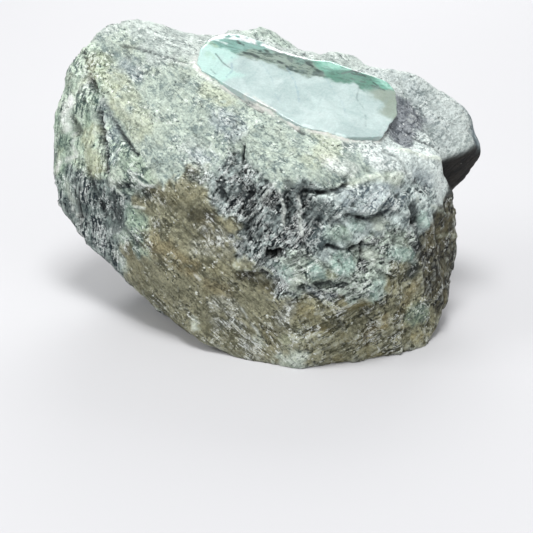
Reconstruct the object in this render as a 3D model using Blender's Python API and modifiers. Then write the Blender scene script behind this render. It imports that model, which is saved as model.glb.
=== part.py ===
"""Emerald in matrix: a broken block of foliated mica schist, 25 cm long, with a mass of pale green
emerald in its crest that has been ground flat and polished.

The block is a star shape about a point in its heart. Its large fracture faces come from a convex hull
over named corners. Lumps that stand proud of that hull are hulls of their own, and chips, grooves and
the ledges of the schist's layers are cut into it. The emerald is a hull over the corners of its polished
face, sunk into a pocket of the block. X runs to the right along the polished face, Y away from the side
it faces, and Z up from the surface that the stone rests on.
"""

import bmesh
import bpy
import numpy as np
from mathutils import Vector

MM = 0.001

# The point inside the block that every part of its surface can be seen from.
HEART = (2, 1, 76)

# Corners of the main block, in millimetres. The foot corners lie under the ground plane, so that the
# block is cut off flat there.
FOOT_DEPTH = -10
BODY_CORNERS = {
    "front foot": (17, -71, FOOT_DEPTH),
    "middle of the front foot": (49, -60, FOOT_DEPTH),
    "right foot": (86, -47, FOOT_DEPTH),
    "right heel": (98, -35, 4),
    "underside by the front foot": (-18, -54, 4),
    "underside before the middle": (-39, -50, 9),
    "underside left of the middle": (-54, -36, 14),
    "underside of the left end": (-81, -15, 28),
    "lower left end": (-103, -2, 40),
    "left end turning up": (-116, 8, 52),
    "left end below its tip": (-124, 15, 64),
    "left tip": (-126, 21, 80),
    "left end above its tip": (-123, 27, 112),
    "left brow": (-116, 31, 135),
    "top of the left end": (-110, 34, 149),
    "crest at the left": (-95, 41, 164),
    "highest point of the crest": (-80, 43, 165),
    "crest before the emerald": (-59, 43, 161),
    "crest at the right": (70, 43, 135),
    "left corner of the brow": (-85, -19, 89),
    "middle of the brow": (-48, -37, 97),
    "top of the prow": (-32, -43, 97),
    "upper prow": (-11, -57, 73),
    "lower prow": (9, -67, 50),
    "top slope left of the emerald": (-45, 14, 140),
    "top slope by the emerald's left corner": (-29, 2, 136),
    "top slope before the emerald": (-4, -10, 127),
    "top slope before the emerald's middle": (19, -21, 119),
    "top slope before the emerald's right": (48, -27, 112),
    "top slope right of the emerald": (71, -19, 109),
    "front edge of the top slope": (18, -55, 102),
    "front edge towards the right": (37, -53, 100),
    "right shoulder": (97, -11, 101),
    "right shoulder turning down": (103, -3, 93),
    "right end": (112, 1, 49),
    "right end lower down": (113, -1, 27),
    "right end above the heel": (105, -7, 10),
    "front right edge": (88, -35, 72),
    "front right edge lower down": (86, -43, 29),
    "belly of the front face": (46, -69, 49),
    "back right foot": (92, 21, FOOT_DEPTH),
    "back foot": (68, 51, FOOT_DEPTH),
    "back left foot": (-34, 55, FOOT_DEPTH),
    "left foot": (-62, 25, FOOT_DEPTH),
    "left foot at the front": (-44, -15, FOOT_DEPTH),
    "belly of the back, right": (94, 55, 58),
    "belly of the back": (12, 71, 62),
    "belly of the back, left": (-76, 67, 70),
    "tail": (-110, 49, 84),
    "top of the tail": (-92, 63, 132),
    "back of the crest": (-18, 59, 148),
    "back of the crest, right": (60, 57, 130),
}

# Corners of each lump that stands proud of the main block. A lump is the hull over its corners and a
# small core round the heart, so that its flanks slope down to the block.
LUMP_CORE = 20
LUMPS = {
    "horn": [
        (70, 43, 136),
        (87, 40, 132),
        (101, 35, 122),
        (115, 31, 114),
        (118, 34, 112),
        (118, 16, 99),
        (125, 28, 93),
        (124, 26, 89),
        (114, 31, 61),
        (103, 7, 95),
        (104, 53, 100),
        (92, 57, 70),
        (100, 30, 42),
    ],
    "knob behind the emerald": [
        (-24, 54, 155),
        (-12, 55, 155),
        (-2, 55, 156),
        (3, 53, 152),
        (10, 51, 148),
        (-6, 64, 146),
        (-34, 64, 136),
        (26, 66, 128),
    ],
    "knob on the crest": [
        (32, 46, 143),
        (44, 48, 145),
        (48, 48, 143),
        (54, 46, 137),
        (66, 56, 126),
        (38, 60, 130),
    ],
    "slab on the front": [(41, -49, 102), (46, -57, 89), (59, -55, 87), (68, -43, 94), (61, -35, 103)],
}

# The emerald's polished face: the plane it was ground to, its outline seen from above, and its hidden
# root, which is a smaller copy of that outline towards the heart. Grinding took the rock down to the
# same plane. The pocket keeps the two solids just apart.
FACE_NORMAL = (0.152, -0.370, 0.917)
FACE_HEIGHT = 120.5
FACE_OUTLINE = {
    "left": (-40, 18),
    "left above": (-39, 31),
    "top left": (-37, 38),
    "top left turning right": (-33, 43),
    "highest corner": (-25, 48),
    "upper edge by the left": (-17, 49),
    "upper edge": (-7, 47),
    "upper edge at the dip": (6, 42),
    "upper edge in the middle": (26, 40),
    "upper edge by the right": (38, 41),
    "upper right": (50, 37),
    "upper right turning down": (69, 31),
    "right tip": (73, 23),
    "right": (72, 6),
    "lower right corner": (64, -13),
    "lower right": (42, -19),
    "lower middle": (19, -16),
    "lower edge": (-3, -5),
    "lower left": (-26, 7),
    "left below": (-37, 13),
}
ROOT_DEPTH = 24
ROOT_SHRINK = 0.8
POLISH_ROUNDING = 2.2
POLISH_SEGMENTS = 3
POLISH_EDGE_DEGREES = 30
POLISH_SHARP_DEGREES = 35
FLAT_ANGLE = 0.01
POCKET_GAP = 0.3
GRINDING_HEIGHT = 12

# How the block broke: how sharp the edges of its hull are, how far the crease at a lump's foot is filled,
# and the shallow hollows left by chips. A chip is a plane laid in below a random spot, rising with the
# square of the distance from that spot.
EDGE_SHARPNESS = 90
CREASE_WIDTH = 5.0
CHIP_COUNT = 130
CHIP_DEPTH = (0.4, 2.0)
CHIP_DEEPEST = 3.5
CHIP_TILT = 0.07
CHIP_CURVE = (30, 110)
CHIP_SEED = 7

# Single features of the surface: a line from one point to another, how far the feature fades out from
# that line, and how much it rises there, or sinks where that is negative. All are in millimetres.
MARKS = {
    "crevice under the top slab": ((28, -52, 98), (47, -45, 102), 4, -4),
    "crevice under the front slab": ((46, -55, 86), (65, -43, 83), 4, -4),
    "left groove of the front": ((5, -45, 102), (9, -54, 81), 4, -3),
    "right groove of the front": ((17, -51, 94), (22, -62, 65), 4, -3),
    "small cavity": ((4, -60, 64), (6, -61, 63), 3.5, -4),
    "dip of the crest": ((-52, 43, 160), (-40, 44, 157), 9, -4),
    "slit in the top slope": ((-14, -28, 114), (-13, -35, 109), 3, -4),
    "hollow beside the emerald": ((77, 14, 124), (80, -6, 111), 8, -5),
    "notch under the horn": ((105, 8, 92), (111, 26, 64), 9, -5),
    "ledge of the prow": ((-18, -46, 55), (-7, -53, 52), 4, 2),
    "ledge of the lower prow": ((-7, -53, 52), (8, -61, 48), 4, 2),
    "groove beside the left ridge": ((-91, 11, 122), (-78, -8, 108), 5, -1.2),
    "left rim of the prow": ((-53, -29, 89), (-40, -32, 94), 5, 2),
    "rim of the prow": ((-40, -32, 94), (-24, -40, 85), 5, 2.5),
    "lower rim of the prow": ((-24, -40, 85), (-10, -50, 71), 5, 2.5),
    "hollow beside the prow": ((-16, -46, 86), (-2, -53, 76), 6, -3),
    "bulge below the prow": ((-52, -34, 62), (-30, -44, 50), 18, 3),
    "step of the left end": ((-100, -2, 87), (-88, -12, 64), 6, -2.5),
    "groove down the left end": ((-113, 24, 120), (-110, 14, 106), 5, -2.5),
    "step above the right foot": ((73, -45, 68), (88, -31, 77), 5, -2.5),
    "hollow of the right end": ((96, -15, 60), (105, -11, 27), 8, -3),
    "hollow of the lower front": ((26, -59, 9), (53, -63, 28), 6, -2),
    "hollow of the back": ((-40, 66, 90), (10, 70, 80), 15, -5),
    "seam down the back": ((40, 64, 120), (55, 62, 20), 6, -4),
    "hollow under the tail": ((-95, 50, 70), (-70, 45, 40), 12, -5),
}

# The schist's layers stand on edge and bend. The surface steps at each one, least on the top slope.
LAYER_NORMAL = (0.35, 0.93, 0.10)
LAYER_SPACING = 19
LAYER_STEP = 1.8
LAYER_RISE_SHARE = 0.8
LAYER_BEND = 9
LAYER_BEND_CELL = 60
TOP_SLOPE_SHARE = 0.2

# Random swells of the surface, as the size of a swell and its height.
SWELLS = {"broad": (42, 2.0), "narrow": (15, 1.2)}
NOISE_CELLS = 32
NOISE_SEED = 11

# The cosine below which a face counts as turned away from a ray.
LEAST_FACING = 1e-4

SPHERE_SUBDIVISIONS = 7
MATRIX_DETAIL = 0.09

MATRIX_COLOUR = (0.27, 0.31, 0.27)
MATRIX_ROUGHNESS = 0.75
EMERALD_COLOUR = (0.46, 0.71, 0.60)
EMERALD_ROUGHNESS = 0.12


def clear_scene():
    for item in list(bpy.data.objects):
        bpy.data.objects.remove(item)


def new_collection(name):
    collection = bpy.data.collections.new(name)
    bpy.context.scene.collection.children.link(collection)
    return collection


def add_object(name, bm, collection):
    """An object made from a bmesh, which is then freed."""
    mesh = bpy.data.meshes.new(name)
    bm.to_mesh(mesh)
    bm.free()
    item = bpy.data.objects.new(name, mesh)
    collection.objects.link(item)
    return item


def finish_material(name, colour, roughness):
    material = bpy.data.materials.new(name)
    material.use_nodes = True
    shader = material.node_tree.nodes["Principled BSDF"]
    shader.inputs["Base Color"].default_value = (*colour, 1)
    shader.inputs["Roughness"].default_value = roughness
    shader.inputs["Metallic"].default_value = 0
    return material


def hull_mesh(points):
    """The convex hull over points, as a bmesh with no loose or inner vertices."""
    bm = bmesh.new()
    for point in points:
        bm.verts.new(point)
    made = bmesh.ops.convex_hull(bm, input=bm.verts)
    unused = {item for key in ("geom_interior", "geom_unused") for item in made[key]}
    inner = [item for item in unused if isinstance(item, bmesh.types.BMVert)]
    bmesh.ops.delete(bm, geom=inner, context="VERTS")
    bmesh.ops.recalc_face_normals(bm, faces=bm.faces)
    return bm


def hull_planes(points):
    """Outward normals of a hull's faces, and each face's distance from the origin."""
    bm = hull_mesh(points)
    normals = np.array([face.normal for face in bm.faces])
    distances = np.array([face.normal.dot(face.verts[0].co) for face in bm.faces])
    bm.free()
    return normals, distances


def from_heart(corners):
    """Corners in millimetres, as vectors from the heart."""
    return [Vector(corner) - Vector(HEART) for corner in corners]


def plane_reach(directions, normals, distances):
    """How far each ray from the heart goes before it leaves a solid with these faces. Rounding of the
    edges comes from the power sum, which falls a little short of the nearest face."""
    facing = np.clip(directions @ normals.T, LEAST_FACING, None)
    return (((facing / distances) ** EDGE_SHARPNESS).sum(axis=1)) ** (-1 / EDGE_SHARPNESS)


def chipped(directions, reach, normals, distances):
    """Cuts the chips into the hull's surface."""
    rng = np.random.default_rng(CHIP_SEED)
    spots = rng.normal(size=(CHIP_COUNT, 3))
    spots /= np.linalg.norm(spots, axis=1)[:, None]
    deepest = reach - CHIP_DEEPEST
    for spot in spots:
        travel = distances / np.clip(normals @ spot, LEAST_FACING, None)
        nearest = np.argmin(travel)
        tilted = normals[nearest] + rng.normal(scale=CHIP_TILT, size=3)
        tilted /= np.linalg.norm(tilted)
        height = travel[nearest] * (spot @ tilted) - rng.uniform(*CHIP_DEPTH)
        away = np.linalg.norm(directions - spot, axis=1) * travel[nearest]
        plane = height / np.clip(directions @ tilted, LEAST_FACING, None)
        reach = np.minimum(reach, plane + away**2 / (2 * rng.uniform(*CHIP_CURVE)))
    return np.maximum(reach, deepest)


def smooth_max(a, b, width):
    """The larger of two distances, with the crease between them filled over width."""
    overlap = np.clip(width - np.abs(a - b), 0, None)
    return np.maximum(a, b) + overlap**2 / (4 * width)


def box_corners(half):
    """The eight corners of a cube of this half width about the origin."""
    return [Vector((x, y, z)) * half for x in (-1, 1) for y in (-1, 1) for z in (-1, 1)]


def lump_reach(directions, corners):
    """Distance from the heart to a lump's surface along each direction."""
    return plane_reach(directions, *hull_planes(from_heart(corners) + box_corners(LUMP_CORE)))


def block_reach(directions):
    """Distance from the heart to the block's surface along each direction, in millimetres."""
    normals, distances = hull_planes(from_heart(BODY_CORNERS.values()))
    reach = plane_reach(directions, normals, distances)
    reach = chipped(directions, reach, normals, distances)
    for corners in LUMPS.values():
        reach = smooth_max(reach, lump_reach(directions, corners), CREASE_WIDTH)
    return reach


def noise(points, cell, seed):
    """Smooth random values from -1 to 1, one for each corner of a cubic grid and blended between."""
    rng = np.random.default_rng(seed)
    corners = rng.uniform(-1, 1, size=(NOISE_CELLS,) * 3)
    low = np.floor(points / cell).astype(int)
    share = points / cell - low
    share = share * share * (3 - 2 * share)
    total = np.zeros(len(points))
    for step in np.ndindex(2, 2, 2):
        x, y, z = ((low + step) % NOISE_CELLS).T
        total += corners[x, y, z] * np.where(step, share, 1 - share).prod(axis=1)
    return total


def mark_rise(points, start, end, fade, rise):
    """Height of one feature over the points, fading with their distance from its line."""
    start, end = np.array(start, float), np.array(end, float)
    along = np.clip((points - start) @ (end - start) / ((end - start) ** 2).sum(), 0, 1)
    away = np.linalg.norm(points - start - along[:, None] * (end - start), axis=1)
    return rise * np.exp(-((away / fade) ** 2))


def layer_steps(points, directions):
    """Height of the ledges where the surface cuts across the layers: a slow rise over each layer, and a
    quick drop to the next."""
    place = points @ np.array(LAYER_NORMAL) + LAYER_BEND * noise(points, LAYER_BEND_CELL, NOISE_SEED)
    share = place / LAYER_SPACING % 1
    profile = np.minimum(share / LAYER_RISE_SHARE, (1 - share) / (1 - LAYER_RISE_SHARE)) - 0.5
    upward = np.clip(directions[:, 2], 0, 1)
    return LAYER_STEP * profile * np.clip(1 - upward**2, TOP_SLOPE_SHARE, 1)


def rock_reach(directions):
    """Distance from the heart to the rock's surface with all its features."""
    reach = block_reach(directions)
    points = np.array(HEART) + directions * reach[:, None]
    for mark in MARKS.values():
        reach = reach + mark_rise(points, *mark)
    for seed, (cell, height) in enumerate(SWELLS.values(), NOISE_SEED + 1):
        reach = reach + height * noise(points, cell, seed)
    return cut_at_ground(directions, reach + layer_steps(points, directions))


def cut_at_ground(directions, reach):
    """Shortens each ray that would pass below the ground plane."""
    falling = np.clip(-directions[:, 2], LEAST_FACING, None)
    return np.minimum(reach, HEART[2] / falling)


def build_matrix(collection):
    """The schist block, as a sphere whose points are pushed out to the block's surface."""
    bm = bmesh.new()
    bmesh.ops.create_icosphere(bm, subdivisions=SPHERE_SUBDIVISIONS, radius=1)
    directions = np.array([vert.co.normalized() for vert in bm.verts])
    points = (np.array(HEART) + directions * rock_reach(directions)[:, None]) * MM
    for vert, point in zip(bm.verts, points):
        vert.co = point
    block = add_object("matrix", bm, collection)
    decimate = block.modifiers.new("fewer faces", "DECIMATE")
    decimate.ratio = MATRIX_DETAIL
    block.data.materials.append(finish_material("schist", MATRIX_COLOUR, MATRIX_ROUGHNESS))
    return block


def face_corner(x, y):
    """The point of the polished face's plane at x and y."""
    nx, ny, nz = FACE_NORMAL
    return Vector((x, y, (FACE_HEIGHT - nx * x - ny * y) / nz))


def emerald_corners():
    """The emerald's corners in metres: the polished face, and a smaller root towards the heart."""
    face = [face_corner(x, y) for x, y in FACE_OUTLINE.values()]
    middle = sum(face, Vector()) / len(face)
    inwards = (Vector(HEART) - middle).normalized() * ROOT_DEPTH
    root = [middle + (corner - middle) * ROOT_SHRINK + inwards for corner in face]
    return [corner * MM for corner in face + root]


def build_emerald(collection):
    bm = hull_mesh(emerald_corners())
    bmesh.ops.dissolve_limit(bm, angle_limit=FLAT_ANGLE, verts=bm.verts, edges=bm.edges)
    gem = add_object("emerald", bm, collection)
    bevel = gem.modifiers.new("polished edges", "BEVEL")
    bevel.width = POLISH_ROUNDING * MM
    bevel.segments = POLISH_SEGMENTS
    bevel.limit_method = "ANGLE"
    bevel.angle_limit = np.radians(POLISH_EDGE_DEGREES)
    gem.data.shade_smooth()
    gem.data.set_sharp_from_angle(angle=np.radians(POLISH_SHARP_DEGREES))
    gem.data.materials.append(finish_material("emerald", EMERALD_COLOUR, EMERALD_ROUGHNESS))
    return gem


def cut_pocket(block, cutters):
    """Sinks the emerald's pocket into the block, larger than the emerald by the gap on every side, and
    grinds away what stands over the polished face."""
    ground = Vector(FACE_NORMAL) * GRINDING_HEIGHT
    corners = [
        corner + step for corner in emerald_corners() for step in box_corners(POCKET_GAP * MM)
    ]
    corners += [(face_corner(x, y) + ground) * MM for x, y in FACE_OUTLINE.values()]
    pocket = add_object("pocket", hull_mesh(corners), cutters)
    pocket.hide_render = True
    pocket.display_type = "WIRE"
    cut = block.modifiers.new("emerald pocket", "BOOLEAN")
    cut.operation = "DIFFERENCE"
    cut.object = pocket


def main():
    clear_scene()
    stone = new_collection("emerald in matrix")
    cutters = new_collection("cutters")
    block = build_matrix(stone)
    build_emerald(stone)
    cut_pocket(block, cutters)


if __name__ == "__main__":
    main()
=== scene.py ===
"""Looks of the emerald in matrix: a broken block of foliated mica schist with a polished mass of pale
green emerald in its crest, standing on a plain pale floor in soft studio light.

Shapes are worked out in millimetres in the stone's own frame, X to the right along the polished face,
Y away from the side it faces, Z up from the floor. They become metres when a mesh is made.
"""

import logging
from collections.abc import Callable, Iterable
from dataclasses import dataclass, field
from enum import Enum

import bmesh
import bpy
import numpy as np
from mathutils import Matrix, Vector

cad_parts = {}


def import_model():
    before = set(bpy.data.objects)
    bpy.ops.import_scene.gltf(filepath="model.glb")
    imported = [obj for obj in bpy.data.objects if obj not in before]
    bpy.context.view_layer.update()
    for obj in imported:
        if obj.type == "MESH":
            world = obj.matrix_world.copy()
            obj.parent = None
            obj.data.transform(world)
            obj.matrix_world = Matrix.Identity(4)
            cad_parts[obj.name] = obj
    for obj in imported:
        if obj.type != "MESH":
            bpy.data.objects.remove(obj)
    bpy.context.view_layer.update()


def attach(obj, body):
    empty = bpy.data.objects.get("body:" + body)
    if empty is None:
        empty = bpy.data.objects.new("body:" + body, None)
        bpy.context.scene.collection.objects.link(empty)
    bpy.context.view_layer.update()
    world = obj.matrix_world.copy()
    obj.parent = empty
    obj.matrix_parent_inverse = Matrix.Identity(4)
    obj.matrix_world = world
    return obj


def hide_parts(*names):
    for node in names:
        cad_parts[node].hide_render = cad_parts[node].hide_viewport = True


LOG = logging.getLogger("emerald in matrix")
MM = 0.001
SCREEN_POWER = 2.2
LEAST_FACING = 1e-4
CORNERS = 32
MANY_CORNERS = 64

Array = np.ndarray
Point = tuple[float, float, float]
Colour = tuple[float, float, float]
Piece = bpy.types.Object
Socket = bpy.types.NodeSocket
Value = Socket | float


def unit(vectors: Array) -> Array:
    """Vectors, one in each row, divided by their own lengths."""
    return vectors / np.linalg.norm(vectors, axis=-1, keepdims=True)


def smooth_step(values: Array, low: float, high: float) -> Array:
    """A ramp that starts and ends level: 3 t squared less 2 t cubed.

    Args:
        values: where the ramp is read.
        low: the value at which it leaves 0.
        high: the value at which it reaches 1.

    Returns:
        The ramp's height at each value.
    """
    t = np.clip((values - low) / (high - low), 0, 1)
    return t * t * (3 - 2 * t)


def linear(colour: Colour) -> Array:
    """The shares of white light in a colour given as 0 to 255 on a screen: each share to the power 2.2."""
    return (np.array(colour) / 255) ** SCREEN_POWER


def noise(points: Array, cell: float, seed: int, corners: int = CORNERS) -> Array:
    """Smooth random values. Each corner of a cubic grid has one from -1 to 1, and a point blends the
    eight round it by the smooth share of its place between them.

    Args:
        points: where it is read, in millimetres.
        cell: the grid's spacing.
        seed: which random values the corners get.
        corners: how many corners there are along each side before they repeat.

    Returns:
        The value at each point.
    """
    table = np.random.default_rng(seed).uniform(-1, 1, size=(corners,) * 3)
    low = np.floor(points / cell).astype(int)
    share = points / cell - low
    share = share * share * (3 - 2 * share)
    total = np.zeros(len(points))
    for step in np.ndindex(2, 2, 2):
        x, y, z = ((low + step) % corners).T
        total += table[x, y, z] * np.where(step, share, 1 - share).prod(axis=1)
    return total


def noises(points: Array, *layers: tuple) -> Array:
    """The sum of several noises.

    Args:
        points: where they are read.
        layers: for each its height, cell and seed, and its corners where they aren't the usual ones.

    Returns:
        The sum at each point.
    """
    return sum(height * noise(points, *rest) for height, *rest in layers)


def wander(points: Array, seeds: Iterable[int], *layers: tuple) -> Array:
    """Random steps for points: a column of noises for each seed.

    Args:
        points: the points.
        seeds: the seed that each column starts from.
        layers: as for noises, but each seed is counted on from the column's.

    Returns:
        A row of steps for each point.
    """
    return np.column_stack([
        noises(points, *((height, cell, seed + on, *rest) for height, cell, on, *rest in layers))
        for seed in seeds
    ])


def shards(points: Array, cell: float, seed: int) -> Array:
    """Height of a surface broken into small flat pieces. Space is split between random spots, one to
    each cell of a cubic grid, and each spot's share of the surface is a plane with its own random tilt:
    the height is the dot product of the tilt and the point's offset from the spot.

    Args:
        points: where it is read, in millimetres.
        cell: about how wide a piece is.
        seed: which spots and tilts are used.

    Returns:
        The height at each point, mostly from -0.6 to 0.6.
    """
    rng = np.random.default_rng(seed)
    spots = rng.uniform(0, 1, size=(CORNERS,) * 3 + (3,))
    tilts = unit(rng.normal(size=(CORNERS,) * 3 + (3,)))
    place = points / cell
    low = np.floor(place).astype(int)
    nearest = np.full(len(points), np.inf)
    height = np.zeros(len(points))
    for step in np.ndindex(3, 3, 3):
        corner = low + np.array(step) - 1
        x, y, z = (corner % CORNERS).T
        offset = place - corner - spots[x, y, z]
        away = (offset**2).sum(axis=1)
        height = np.where(away < nearest, (offset * tilts[x, y, z]).sum(axis=1), height)
        nearest = np.minimum(nearest, away)
    return height


def path_distance(points: Array, path: Iterable[tuple]) -> Array:
    """How far points are from a path of straight lines: the distance from the nearest place on each
    line, whose share of the line is kept from 0 to 1, and the least of those.

    Args:
        points: an array with a point in each row.
        path: the ends of its lines, one after the other.

    Returns:
        The distance of each point.
    """
    away = np.full(len(points), np.inf)
    stops = np.array(path, float)
    for start, end in zip(stops[:-1], stops[1:]):
        span = end - start
        along = np.clip((points - start) @ span / (span @ span), 0, 1)
        away = np.minimum(away, np.linalg.norm(points - start - along[:, None] * span, axis=1))
    return away


def nearest_shares(points: Array, places: dict[Enum, tuple], edge: float, scale: Array | float = 1.0) -> dict:
    """How much points belong to each of several kinds of place: the exponential of minus the distance
    from the kind's nearest place over the edge's width, as a share of all kinds.

    Args:
        points: an array with a point in each row.
        places: the places of each kind.
        edge: how wide the blend between two kinds is.
        scale: what the places are multiplied by before they are compared.

    Returns:
        A share from 0 to 1 for each point, by kind.
    """
    nearness = {}
    for kind, spots in places.items():
        away = np.full(len(points), np.inf)
        for spot in np.array(spots) * scale:
            away = np.minimum(away, np.linalg.norm(points - spot, axis=1))
        nearness[kind] = away
    closest = np.minimum.reduce(list(nearness.values()))
    shares = {kind: np.exp((closest - away) / edge) for kind, away in nearness.items()}
    total = sum(shares.values())
    return {kind: share / total for kind, share in shares.items()}


def hull_planes(points: Array) -> tuple[Array, Array]:
    """The faces of a convex hull round the origin.

    Args:
        points: the hull's corners, from a point inside it.

    Returns:
        Each face's outward normal, and its distance from the origin.
    """
    bm = bmesh.new()
    for point in points:
        bm.verts.new(point)
    bmesh.ops.convex_hull(bm, input=bm.verts)
    normals = []
    distances = []
    for face in bm.faces:
        face.normal_update()
        distance = face.normal.dot(face.verts[0].co)
        normals.append(face.normal * (1 if distance > 0 else -1))
        distances.append(abs(distance))
    bm.free()
    return np.array(normals), np.array(distances)


def plane_reach(directions: Array, points: Array, sharpness: float) -> Array:
    """How far rays from the origin go inside a convex hull. Each face stops a ray at its distance over
    the cosine, and the stops combine as the power sum of their inverses, which wears the edges round.

    Args:
        directions: unit vectors of the rays.
        points: the hull's corners, from the origin.
        sharpness: the power. The larger, the sharper the edges.

    Returns:
        The length of each ray.
    """
    normals, distances = hull_planes(points)
    facing = np.clip(directions @ normals.T, LEAST_FACING, None) / distances
    return (facing**sharpness).sum(axis=1) ** (-1 / sharpness)


def sphere_grid(cells: int) -> tuple[Array, Array]:
    """Directions spread evenly over a sphere. A cube's six faces carry square grids, whose lines are set
    at equal angles by the tangent of a quarter turn, and the cube's points are pushed out to a sphere.

    Args:
        cells: how many squares there are along each side of a face.

    Returns:
        A unit vector for each point, and the four points of each square, seen anticlockwise from outside.
    """
    line = np.arange(cells + 1)
    first, second = np.meshgrid(line, line, indexing="ij")
    places = []
    quads = []
    for axis, side in np.ndindex(3, 2):
        place = np.empty((cells + 1, cells + 1, 3), dtype=np.int64)
        place[..., axis] = side * cells
        place[..., (axis + 1) % 3] = first
        place[..., (axis + 2) % 3] = second
        index = (np.arange(first.size) + len(places) * first.size).reshape(first.shape)
        quad = np.stack([index[:-1, :-1], index[1:, :-1], index[1:, 1:], index[:-1, 1:]], axis=-1)
        quads.append(quad.reshape(-1, 4) if side else quad.reshape(-1, 4)[:, ::-1])
        places.append(place.reshape(-1, 3))
    whole, inverse = np.unique(np.concatenate(places), axis=0, return_inverse=True)
    cube = np.tan(np.pi / 4 * (2 * whole / cells - 1))
    return unit(cube), inverse.reshape(-1)[np.concatenate(quads)]


def averaged(values: Array, quads: Array, rounds: int) -> Array:
    """Values averaged with those of the squares round each point, several times over.

    Args:
        values: one value for each point.
        quads: the four points of each square.
        rounds: how many times to average.

    Returns:
        The smoothed values.
    """
    count = np.bincount(quads.ravel(), minlength=len(values))
    for _ in range(rounds):
        mean = values[quads].mean(axis=1)
        total = np.bincount(quads.ravel(), weights=np.repeat(mean, 4), minlength=len(values))
        values = total / count
    return values


def add_object(name: str, data: bpy.types.ID) -> Piece:
    """A new object of the scene that shows a mesh, a light or a camera."""
    thing = bpy.data.objects.new(name, data)
    bpy.context.scene.collection.objects.link(thing)
    return thing


def make_piece(name: str, points: Array, faces: Array | list) -> Piece:
    """A mesh object from whole arrays, shaded smooth.

    Args:
        name: the object's name.
        points: its points in millimetres.
        faces: the points of each face.

    Returns:
        The object, at the origin and linked to the scene.
    """
    mesh = bpy.data.meshes.new(name)
    mesh.from_pydata(points * MM, [], faces)
    mesh.validate()
    mesh.shade_smooth()
    return add_object(name, mesh)


def paint(piece: Piece, name: str, values: Array) -> None:
    """Stores values at each point of a piece, for its shader to read.

    Args:
        piece: the piece.
        name: the attribute's name.
        values: a row of three for each point.
    """
    layer = piece.data.attributes.new(name, "FLOAT_VECTOR", "POINT")
    layer.data.foreach_set("vector", values.astype(np.float32).ravel())


class Grain(Enum):
    """The directions that streaks run in, each a line in the stone's frame."""

    DOWN = (-0.15, -0.15, -1.0)
    FALLING = (0.75, -0.3, -0.6)
    RISING = (0.88, 0.18, 0.42)
    STEEP = (0.60, 0.25, 0.75)


@dataclass(frozen=True)
class Tone:
    """How one zone looks: two colours that mottle it, how much of it is dark, how many white flecks and
    ochre stains it has, how rugged it is, how many millimetres it stands out, and its streaks' direction."""

    light: Colour
    dark: Colour
    mottle: float
    white: float
    rugged: float
    lift: float
    grain: Grain
    ochre: float = 0.0


class Zone(Enum):
    """The parts of the rock's surface that differ in colour and grain, each with its tone. Crest and shaded
    hollow lie by the emerald, the tail is the lower left end, the flank is the right facet of the horn, the
    side is the right end, and the shaded underside is beneath the horn. The dark tones of the shaded hollow
    and the shaded underside are painted shade."""

    TOP = Tone((186, 199, 186), (123, 138, 135), 0.41, 0.20, 0.22, 0.3, Grain.FALLING, 0.08)
    CREST = Tone((190, 200, 194), (136, 147, 143), 0.36, 0.25, 0.25, 0.3, Grain.FALLING)
    HORN = Tone((192, 201, 198), (140, 151, 149), 0.36, 0.15, 0.10, 0.6, Grain.STEEP)
    # Painted shade: the hollow beside the emerald gets a darker tone for the shade that falls in it.
    SHADED_HOLLOW = Tone((142, 147, 151), (90, 96, 102), 0.46, 0.05, 0.14, 0.0, Grain.STEEP)
    FLANK = Tone((120, 132, 136), (84, 96, 102), 0.45, 0.05, 0.06, 1.0, Grain.STEEP)
    SHOULDER = Tone((222, 232, 228), (152, 164, 163), 0.36, 0.30, 0.26, 0.3, Grain.STEEP)
    LEFT = Tone((202, 220, 199), (74, 92, 87), 0.46, 0.36, 0.18, 0.0, Grain.DOWN, 0.15)
    TAIL = Tone((132, 146, 141), (30, 43, 48), 0.53, 0.60, 0.22, 0.0, Grain.DOWN)
    PALE = Tone((170, 188, 168), (76, 92, 88), 0.45, 0.45, 0.35, 0.2, Grain.FALLING)
    OLIVE = Tone((148, 147, 122), (88, 88, 71), 0.45, 0.26, 0.16, 1.0, Grain.FALLING, 0.10)
    DARK = Tone((166, 181, 178), (26, 34, 37), 0.54, 0.95, 0.75, -1.6, Grain.STEEP)
    FRONT = Tone((206, 220, 216), (84, 96, 97), 0.43, 0.50, 0.40, -0.3, Grain.STEEP)
    GREEN = Tone((190, 205, 190), (34, 44, 42), 0.52, 0.80, 0.70, -0.4, Grain.RISING)
    BROWN = Tone((160, 159, 131), (68, 68, 52), 0.49, 0.40, 0.46, 0.2, Grain.RISING, 0.25)
    SIDE = Tone((102, 100, 82), (24, 23, 18), 0.54, 0.30, 0.50, 0.0, Grain.STEEP, 0.15)
    # Painted shade: the horn's downward-facing underside gets a near-black tone, painted shade over dark
    # brown rock.
    SHADED_UNDERSIDE = Tone((40, 37, 31), (13, 11, 9), 0.50, -1.0, 0.20, 0.8, Grain.STEEP)
    BACK = Tone((164, 172, 158), (56, 66, 64), 0.49, 0.50, 0.62, 0.0, Grain.DOWN, 0.15)


@dataclass(frozen=True)
class Stain:
    """The two colours and the extra white flecks that a kind of mark gives to the rock, and how far it
    covers the rock's own colours."""

    light: Colour
    dark: Colour
    white: float
    solid: float = 1.0


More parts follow.
